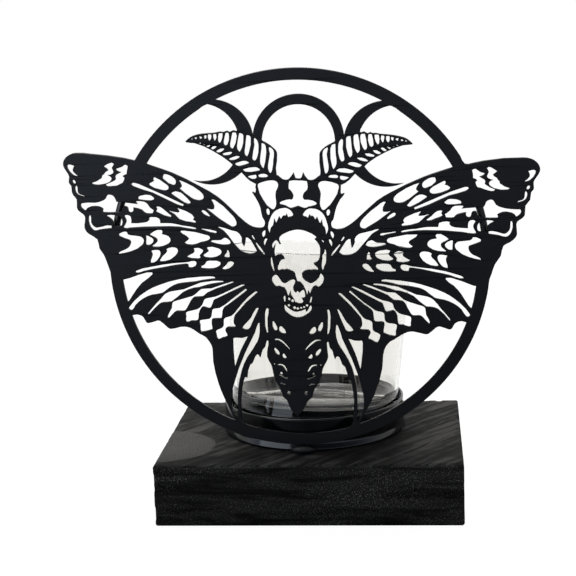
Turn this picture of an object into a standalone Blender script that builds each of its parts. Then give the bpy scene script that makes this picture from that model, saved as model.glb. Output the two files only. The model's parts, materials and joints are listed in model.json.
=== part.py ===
"""Candle holder: a pierced steel moth panel in front of a glass cup on a wooden block.

Run with: blender --background --python part.py
Lengths are in metres, +Z is up and the front of the holder faces -Y.
The origin is the middle of the block's flat underside.
"""
import math

import bmesh
import bpy
from mathutils import Matrix, Vector
from mathutils.geometry import delaunay_2d_cdt

# Gap kept between pieces that touch
GAP = 0.0003

# Wooden block
BLOCK_WIDTH = 0.130
BLOCK_DEPTH = 0.100
BLOCK_HEIGHT = 0.0265
BLOCK_EASE = 0.0010

# Steel panel: a ring with the moth cut from the same sheet
RING_RADIUS = 0.0797
RING_BAND = 0.0050
RING_RISE = 0.0034
PANEL_SHEET = 0.0015
PANEL_SETBACK = 0.0183
PANEL_OFFSET_X = -0.0024
PANEL_LEAN = math.radians(2.08)

# Round steel bars welded behind the wings
BRACE_ROD_RADIUS = 0.0016
BRACE_LOW_ANGLE = math.radians(-5.0)
BRACE_HIGH_ANGLE = math.radians(27.0)

# Spun steel tray that holds the glass, with this much play round the foot of the glass
TRAY_PLAY = 0.0008
TRAY_HEIGHT = 0.0137
TRAY_SHEET = 0.0012
TRAY_INNER_ROUND = 0.0014
TRAY_FOOT_FLARE = 0.0006
TRAY_FOOT_HEIGHT = 0.0032
TRAY_FOOT_EDGE = 0.0004
TRAY_OFFSET_X = -0.0008

# Screw through the tray floor into the block
SCREW_HEAD_RADIUS = 0.0048
SCREW_HEAD_HEIGHT = 0.0039
SCREW_HEAD_DOME = 0.0009
SCREW_SHANK_RADIUS = 0.0022
SCREW_LENGTH = 0.0150
SCREW_TIP_LENGTH = 0.0030
SCREW_SLOT_WIDTH = 0.0011
SCREW_SLOT_LENGTH = 0.0046
SCREW_SLOT_DEPTH = 0.0013

# Weld between the ring's lowest point and the tray
BEAD_WIDTH = 0.0100
BEAD_PROUD = 0.0040

# Glass cup, which leans because its base rides on the screw head. Its waist is this much
# narrower than its foot, and its rim this much wider
GLASS_FOOT_RADIUS = 0.0384
GLASS_WAIST_TUCK = 0.0010
GLASS_RIM_FLARE = 0.0038
GLASS_HEIGHT = 0.0752
GLASS_WAIST_HEIGHT = 0.0120
GLASS_FOOT_HEIGHT = 0.0030
GLASS_WALL = 0.0020
GLASS_BASE = 0.0055
GLASS_EDGE = 0.0020
GLASS_INNER_ROUND = 0.0072
GLASS_LEAN_HEADING = math.radians(25.4)

# Flats round the turned pieces and along the braces, and the angle past which an edge is sharp
GLASS_STEPS = 56
TRAY_STEPS = 64
SCREW_STEPS = 24
BRACE_STEPS = 20
SHARP_ANGLE = math.radians(35.0)
WELD_DISTANCE = 1e-6

# Places worked out from the sizes
PANEL_FRONT_Y = -BLOCK_DEPTH / 2 + PANEL_SETBACK
PANEL_BACK_Y = PANEL_FRONT_Y + PANEL_SHEET
RING_CENTRE = Vector((PANEL_OFFSET_X, PANEL_FRONT_Y, BLOCK_HEIGHT + RING_RISE + RING_RADIUS))
GLASS_WAIST_RADIUS = GLASS_FOOT_RADIUS - GLASS_WAIST_TUCK
GLASS_RIM_RADIUS = GLASS_FOOT_RADIUS + GLASS_RIM_FLARE
TRAY_RADIUS = GLASS_FOOT_RADIUS + TRAY_PLAY + TRAY_SHEET
TRAY_CENTRE = Vector((TRAY_OFFSET_X, PANEL_BACK_Y + GAP + TRAY_RADIUS, BLOCK_HEIGHT + GAP))
TRAY_FLOOR_Z = TRAY_CENTRE.z + TRAY_SHEET
GLASS_LEAN = math.asin(SCREW_HEAD_HEIGHT / GLASS_FOOT_RADIUS)
# The tipped base meets the domed head off its middle, so it rides this much higher
DOME_LIFT = math.hypot(SCREW_HEAD_DOME, math.tan(GLASS_LEAN) * SCREW_HEAD_RADIUS) - SCREW_HEAD_DOME

# The moth is drawn in millimetres from the ring's centre, u to the right and v up,
# for a ring of this radius, and grows or shrinks with RING_RADIUS
DRAWN_RING_RADIUS = 79.7
DRAWING_SCALE = RING_RADIUS / DRAWN_RING_RADIUS
DRAWN_BAND = RING_BAND / DRAWING_SCALE
CORNER_TURN = math.radians(62.0)
CURVE_STEPS = 4
CHORD_ERROR = 0.15
MERGE_DISTANCE = 0.002


# Right half of the moth's outer edge, from the middle of the head round to the tail
HEAD_TOP = [
    (0, 34.4), (1.1, 34.6), (1.5, 35.3), (1.7, 36.5), (2.0, 37.1), (2.4, 36.5), (3.0, 35.5), (4.0, 34.1),
    (5.0, 33.8), (6.5, 34.1), (7.7, 34.9), (8.8, 35.8), (11.0, 35.6)]
FRONT_LEG_EDGE = [
    (17.6, 31.9), (17.5, 31.2), (17.8, 30.3), (17.5, 29.4), (17.8, 28.2), (18.5, 28.5), (19.0, 28.8),
    (19.2, 28.3), (18.5, 27.6), (17.8, 26.5), (17.0, 25.0), (16.3, 23.8), (15.8, 22.3), (15.3, 20.8),
    (15.0, 18.6), (14.6, 17.4), (14.1, 16.9), (13.8, 15.4), (14.5, 14.0)]
FORE_WING_TOP = [
    (15.5, 13.8), (17.2, 13.7), (18.6, 14.0), (21.0, 15.2), (24.0, 17.6), (28.0, 21.5), (32.0, 25.2),
    (34.0, 26.7), (38.0, 29.1), (42.0, 31.2), (48.0, 34.2), (54.0, 36.8), (60.0, 38.8), (63.4, 39.8),
    (66.0, 40.9), (68.2, 41.3), (70.0, 41.4), (74.0, 42.4), (80.0, 42.9), (86.0, 43.6), (90.0, 44.0),
    (93.0, 44.0), (95.0, 43.5), (96.5, 42.7), (97.7, 41.5), (98.4, 40.1), (98.5, 38.9), (98.1, 37.6),
    (97.2, 36.2)]
FORE_WING_TIP = [
    (96.2, 34.6), (96.0, 33.4), (96.3, 32.2), (96.2, 31.2), (95.4, 30.4), (95.1, 29.4), (95.1, 27.8),
    (94.8, 26.6), (94.0, 25.7), (93.2, 24.7), (93.0, 23.4), (93.1, 21.2), (92.7, 20.0), (91.6, 18.9),
    (90.2, 18.0), (89.7, 17.0), (89.9, 15.0), (90.1, 13.2), (89.8, 11.7), (88.6, 10.2), (87.2, 9.1),
    (86.0, 8.4), (84.9, 7.9), (84.4, 6.8), (84.2, 5.2), (83.9, 3.8), (83.2, 2.6), (82.2, 1.3),
    (81.5, 0.0), (81.0, -2.0), (80.4, -3.7), (79.7, -5.2), (79.3, -7.0), (77.5, -12.0), (76.0, -18.0),
    (74.0, -24.0), (71.6, -24.9)]
HIND_WING_EDGE = [
    (70.2, -24.8), (69.0, -24.4), (68.0, -24.4), (66.5, -24.9), (65.5, -25.6), (65.0, -26.6), (64.5, -27.6),
    (63.8, -28.0), (62.6, -27.9), (61.0, -27.2), (60.0, -26.9), (59.0, -26.8), (58.0, -27.3), (56.6, -28.5),
    (55.2, -29.8), (54.2, -30.3), (53.0, -30.2), (51.0, -29.6), (48.5, -29.2), (46.5, -29.4), (45.0, -30.0),
    (43.0, -31.1), (41.4, -32.4), (40.0, -33.1), (39.0, -33.6), (38.4, -34.3), (37.8, -35.5), (36.7, -36.9),
    (36.3, -38.4), (36.0, -41.0), (35.9, -45.0), (35.2, -47.4), (34.6, -50.2), (33.7, -53.8), (32.6, -57.0),
    (31.6, -59.0), (31.2, -60.5), (30.1, -62.5), (28.8, -65.2), (27.6, -67.8), (26.6, -69.7)]
INNER_LEG_EDGE = [
    (26.0, -73.5), (22.3, -72.6), (22.4, -71.3), (23.4, -70.3), (23.8, -68.5), (23.7, -65.5), (24.0, -62.5),
    (24.0, -59.4), (23.5, -57.0), (23.1, -54.0), (22.9, -52.0), (22.3, -50.6), (21.4, -50.9), (21.0, -49.0),
    (20.6, -47.0), (20.1, -45.1), (19.1, -44.4), (18.6, -43.4), (17.8, -41.2), (17.1, -40.5), (16.4, -40.8),
    (16.2, -41.6), (15.8, -41.9), (15.4, -41.2), (15.1, -39.5), (14.6, -38.1), (13.7, -37.2), (13.4, -36.0),
    (13.2, -34.8), (12.8, -34.3), (12.4, -34.8), (12.5, -36.5), (12.9, -39.0), (12.9, -41.5), (12.4, -42.8),
    (11.4, -44.5), (10.8, -45.9), (10.5, -48.0)]
TAIL_EDGE = [
    (10.0, -50.0), (9.4, -51.9), (8.4, -53.6), (7.5, -54.7), (7.1, -56.2), (6.6, -57.8), (6.0, -59.0),
    (4.6, -60.2), (4.1, -61.2), (3.6, -62.5), (2.8, -64.1), (2.0, -65.4), (1.2, -66.0), (0.8, -66.7),
    (0, -67.3)]

# The antenna, closed across the crescent and into the head
ANTENNA = [
    (46.8, 49.2), (45.8, 50.2), (44.6, 51.1), (43.0, 51.8), (40.0, 52.5), (37.0, 52.9), (34.0, 53.0),
    (32.0, 53.5), (30.5, 53.3), (29.5, 53.8), (28.3, 53.3), (27.0, 54.0), (25.6, 53.6), (25.1, 54.2),
    (22.5, 53.8), (19.6, 53.0), (17.0, 51.8), (15.1, 49.9), (13.5, 49.2), (12.0, 48.2), (10.2, 46.9),
    (8.8, 45.1), (8.7, 44.0), (9.0, 41.5), (9.2, 37.5), (8.9, 35.9), (9.5, 33.5), (13.0, 33.2),
    (17.6, 31.9), (19.3, 32.8), (20.9, 33.8), (22.0, 35.2), (23.2, 36.1), (25.0, 38.2), (27.2, 39.6),
    (28.5, 41.0), (31.0, 42.5), (34.5, 44.9), (38.0, 46.5), (42.0, 48.2), (44.0, 48.7), (46.4, 48.8)]

# The open triangle between the hind wing and the ring, without the side that the ring closes
RING_TRIANGLE = [
    (71.6, -18.3), (69.8, -15.4), (67.5, -12.3), (65.8, -10.3), (63.8, -8.6), (62.0, -7.4), (61.4, -6.6),
    (61.6, -6.1), (62.5, -6.0), (64.0, -6.2), (67.5, -7.3), (70.0, -8.2), (72.2, -9.1), (73.6, -9.2)]
TRIANGLE_RING_ANGLES = (-7.3, -14.6)

# Openings of the right antenna
ANTENNA_OPENINGS = [
    [(12.0, 47.3), (11.0, 46.8), (10.2, 45.7), (10.0, 44.0), (10.4, 41.5), (10.8, 39.0), (10.9, 37.2),
     (11.4, 36.5), (12.0, 36.9), (12.4, 38.5), (12.5, 40.0), (12.1, 42.5), (11.7, 44.5), (12.2, 46.9)],
    [(13.9, 48.4), (15.2, 48.8), (15.3, 48.0), (15.2, 46.0), (15.5, 44.0), (15.8, 42.0), (15.7, 40.5),
     (15.2, 39.3), (14.5, 38.4), (14.0, 39.4), (13.9, 41.0), (13.2, 45.0), (13.4, 47.0)],
    [(17.9, 50.9), (18.3, 50.4), (18.3, 49.4), (18.1, 48.0), (18.3, 46.0), (18.9, 43.6), (18.8, 42.0),
     (18.0, 41.6), (17.4, 42.0), (16.8, 45.0), (16.4, 47.0), (16.5, 48.5), (17.0, 50.0)],
    [(20.6, 52.0), (21.4, 52.0), (21.6, 49.0), (22.2, 45.0), (22.0, 44.0), (21.3, 43.3), (20.7, 44.0),
     (20.4, 45.0), (20.0, 47.5), (19.7, 49.5), (19.8, 51.5)],
    [(23.0, 52.5), (24.4, 52.8), (24.6, 51.5), (25.3, 47.5), (25.1, 46.0), (24.3, 45.1), (23.6, 46.0),
     (22.8, 49.5), (22.7, 51.5)],
    [(25.8, 53.0), (27.2, 53.1), (27.5, 51.3), (28.2, 48.0), (28.0, 46.9), (27.3, 46.4), (26.7, 47.0),
     (26.2, 48.5), (25.6, 50.5), (25.4, 52.0)],
    [(28.9, 52.9), (30.0, 52.9), (30.4, 51.0), (30.8, 49.5), (30.7, 48.2), (30.0, 47.7), (29.3, 48.2),
     (28.9, 50.5), (28.6, 52.0)],
    [(31.3, 52.7), (32.9, 52.7), (33.1, 50.5), (33.1, 49.3), (32.6, 48.7), (32.0, 49.3), (31.6, 50.5),
     (31.2, 51.8)],
    [(34.0, 52.4), (35.2, 52.2), (35.2, 51.3), (35.0, 50.2), (34.6, 49.5), (34.0, 50.3), (33.8, 51.5)],
    [(36.0, 52.1), (37.3, 52.2), (37.4, 50.5), (36.9, 49.6), (36.3, 50.0), (35.9, 51.2)],
    [(38.0, 51.8), (39.0, 51.6), (38.8, 50.3), (38.1, 50.7)],
    [(39.9, 51.2), (41.0, 51.4), (40.7, 50.3), (39.9, 50.6)],
    [(42.0, 50.9), (42.8, 50.9), (42.9, 50.3), (42.1, 50.2)],
    [(43.8, 50.5), (44.4, 50.5), (44.4, 50.0), (43.8, 50.0)],
    [(15.7, 37.7), (16.5, 38.5), (18.0, 38.9), (20.0, 38.7), (22.9, 37.8), (22.3, 37.1), (20.5, 36.9),
     (18.0, 37.2), (16.3, 37.4)],
    [(20.3, 40.6), (21.0, 41.2), (23.0, 41.3), (25.0, 40.8), (26.2, 40.2), (25.5, 39.5), (24.0, 39.4),
     (22.0, 39.9)],
    [(24.2, 43.2), (25.5, 43.4), (27.0, 42.9), (28.6, 42.2), (28.6, 41.8), (27.5, 41.7), (26.0, 42.2),
     (24.5, 42.7)],
    [(27.3, 44.9), (28.5, 45.1), (30.0, 44.7), (31.3, 44.3), (31.0, 43.7), (29.5, 43.7), (28.0, 44.1)],
    [(30.6, 46.4), (32.0, 46.4), (33.2, 45.7), (34.0, 45.2), (33.3, 44.8), (32.0, 45.1), (30.9, 45.8)],
    [(33.8, 47.2), (34.6, 47.5), (36.2, 46.4), (35.6, 46.0), (34.5, 46.5)],
    [(36.4, 47.9), (37.4, 47.7), (38.1, 47.3), (37.4, 46.9), (36.7, 47.3)],
    [(38.7, 48.2), (39.5, 48.3), (39.6, 48.0), (38.8, 47.8)],
    [(40.2, 48.6), (40.9, 48.7), (41.0, 48.4), (40.3, 48.3)],
    [(12.5, 35.3), (13.3, 36.0), (14.5, 36.1), (15.8, 36.0), (16.5, 35.6), (16.3, 34.8), (15.6, 34.7),
     (14.0, 34.9), (12.8, 34.9)],
    [(17.2, 35.0), (17.5, 35.7), (18.8, 35.4), (20.0, 35.4), (20.9, 35.0), (20.2, 34.4), (19.0, 34.1),
     (17.6, 34.2)]]

# Openings round the head, legs and fur of the body
HEAD_OPENING = [
    (0, 33.6), (3.6, 33.3), (3.9, 32.5), (3.8, 31.2), (3.9, 30.0), (3.4, 29.7), (2.6, 28.8), (2.0, 27.6),
    (2.1, 26.2), (2.9, 25.5), (3.5, 25.7), (4.3, 25.6), (5.2, 25.2), (7.3, 24.7), (7.7, 24.3), (7.5, 23.7),
    (6.8, 23.4), (4.6, 23.0), (3.0, 22.1), (2.3, 22.2), (0.7, 23.0), (0, 23.1)]
BODY_OPENINGS = [
    [(8.3, 31.2), (8.4, 32.2), (9.0, 33.0), (11.0, 33.5), (12.5, 33.3), (14.0, 32.9), (16.5, 32.0),
     (16.8, 31.2), (16.6, 30.2), (15.4, 27.3), (14.5, 25.4), (12.2, 22.8), (11.2, 21.7), (10.6, 21.4),
     (10.0, 21.6), (9.4, 22.8), (9.05, 24.2), (9.4, 26.8), (9.4, 28.0), (9.1, 29.5)],
    [(12.6, 21.8), (13.1, 21.5), (13.2, 21.0), (12.7, 19.2), (12.2, 19.0), (11.8, 19.8), (12.1, 21.4)],
    [(2.0, 19.3), (2.4, 20.2), (3.2, 21.1), (4.2, 21.8), (5.5, 22.1), (7.0, 21.9), (9.4, 20.8),
     (11.0, 18.9), (11.9, 16.5), (12.5, 14.2), (12.5, 13.3), (12.1, 12.0), (11.7, 11.2), (11.4, 12.8),
     (11.2, 14.1), (10.5, 14.7), (10.3, 16.0), (10.0, 17.8), (9.6, 16.6), (9.1, 15.8), (8.7, 16.4),
     (8.3, 17.6), (7.9, 18.7), (7.1, 17.4), (6.6, 18.2), (6.2, 18.9), (5.2, 18.9), (4.8, 19.8),
     (4.4, 18.7), (4.0, 18.1), (3.5, 18.6), (2.5, 18.7)],
    [(13.6, 12.6), (14.2, 12.4), (14.9, 11.3), (14.9, 10.3), (14.5, 9.6), (14.0, 10.2), (13.6, 11.2)],
    [(12.8, 9.0), (13.5, 9.2), (14.1, 8.3), (14.3, 7.0), (14.0, 6.2), (13.5, 7.0), (13.0, 8.2)],
    [(17.8, 8.5), (18.3, 9.5), (18.9, 10.4), (19.4, 10.4), (19.3, 9.9), (18.1, 8.5)],
    [(13.8, 2.2), (14.3, 3.5), (15.2, 4.6), (17.4, 7.4), (17.6, 7.0), (16.9, 6.0), (14.7, 3.0),
     (14.2, 2.3)],
    [(12.3, -20.9), (12.7, -20.5), (13.1, -20.6), (13.6, -22.5), (13.8, -24.6), (13.4, -28.0),
     (13.2, -30.5), (12.8, -31.2), (12.5, -31.2), (12.7, -28.0), (12.8, -24.8), (12.6, -22.2)],
    [(16.5, -20.6), (17.0, -20.4), (17.6, -20.8), (18.7, -23.0), (20.2, -25.4), (22.2, -27.6),
     (23.2, -28.6), (23.4, -29.2), (22.9, -29.6), (22.0, -29.8), (21.0, -29.7), (20.3, -29.1),
     (19.2, -26.5), (18.0, -23.6), (17.0, -21.5)],
    [(16.2, -26.8), (16.7, -27.1), (17.4, -29.3), (18.8, -33.0), (20.8, -37.0), (22.7, -41.0),
     (24.0, -45.0), (25.2, -48.5), (26.4, -51.6), (27.4, -54.8), (28.1, -58.3), (28.2, -61.0),
     (28.0, -63.5), (27.4, -65.5), (26.6, -67.3), (25.4, -68.6), (25.4, -66.0), (25.5, -62.0),
     (25.5, -58.0), (25.0, -54.0), (24.4, -50.5), (23.4, -46.3), (21.6, -42.2), (20.0, -39.4),
     (18.0, -36.6), (17.0, -34.8), (16.3, -32.0), (16.0, -29.5)],
    [(21.2, -33.0), (21.8, -32.9), (23.5, -33.6), (25.0, -33.65), (26.5, -33.5), (27.2, -33.7),
     (27.4, -34.4), (27.1, -37.5), (26.9, -41.5), (26.9, -44.6), (26.6, -46.0), (25.9, -43.5),
     (24.8, -40.5), (23.6, -37.5), (22.4, -35.1)],
    [(7.6, -28.4), (7.2, -28.1), (6.8, -28.2), (5.6, -29.5), (4.9, -30.8), (5.2, -31.2), (5.8, -31.2),
     (7.2, -30.6), (7.65, -30.2)],
    [(10.2, -26.0), (10.6, -26.2), (10.6, -27.0), (10.1, -29.0), (9.7, -29.9), (8.9, -30.0), (8.6, -29.4),
     (9.2, -27.4)],
    [(3.2, -37.9), (3.5, -38.2), (5.2, -36.4), (7.2, -34.8), (8.2, -34.2), (9.6, -34.2), (9.7, -33.7),
     (8.0, -33.6), (6.8, -34.2), (4.8, -35.9)],
    [(9.5, -37.5), (9.9, -37.7), (9.9, -38.3), (8.8, -40.1), (8.2, -40.6), (7.7, -40.5), (7.6, -39.9),
     (8.5, -38.3)],
    [(5.8, -39.9), (6.2, -40.2), (6.3, -41.0), (6.1, -41.7), (5.5, -42.0), (4.8, -41.9), (4.5, -41.5)],
    [(4.3, -47.7), (4.7, -47.6), (5.6, -46.1), (6.8, -45.2), (8.3, -45.0), (8.3, -44.5), (6.5, -44.6),
     (5.2, -45.6)],
    [(9.4, -44.6), (9.8, -44.2), (10.1, -44.6), (9.8, -45.0)],
    [(6.3, -48.6), (6.5, -48.1), (7.0, -47.9), (7.4, -48.3), (7.2, -48.9), (6.7, -49.2)],
    [(4.0, -50.4), (4.2, -50.9), (6.2, -50.3), (7.7, -49.3), (7.5, -48.9), (6.0, -49.8)],
    [(3.0, -57.2), (3.2, -56.4), (3.8, -56.1), (4.3, -56.2), (4.3, -57.0), (4.0, -57.6), (3.4, -57.6)],
    [(5.1, -53.2), (5.3, -53.6), (7.3, -53.0), (7.2, -52.6)]]

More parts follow.
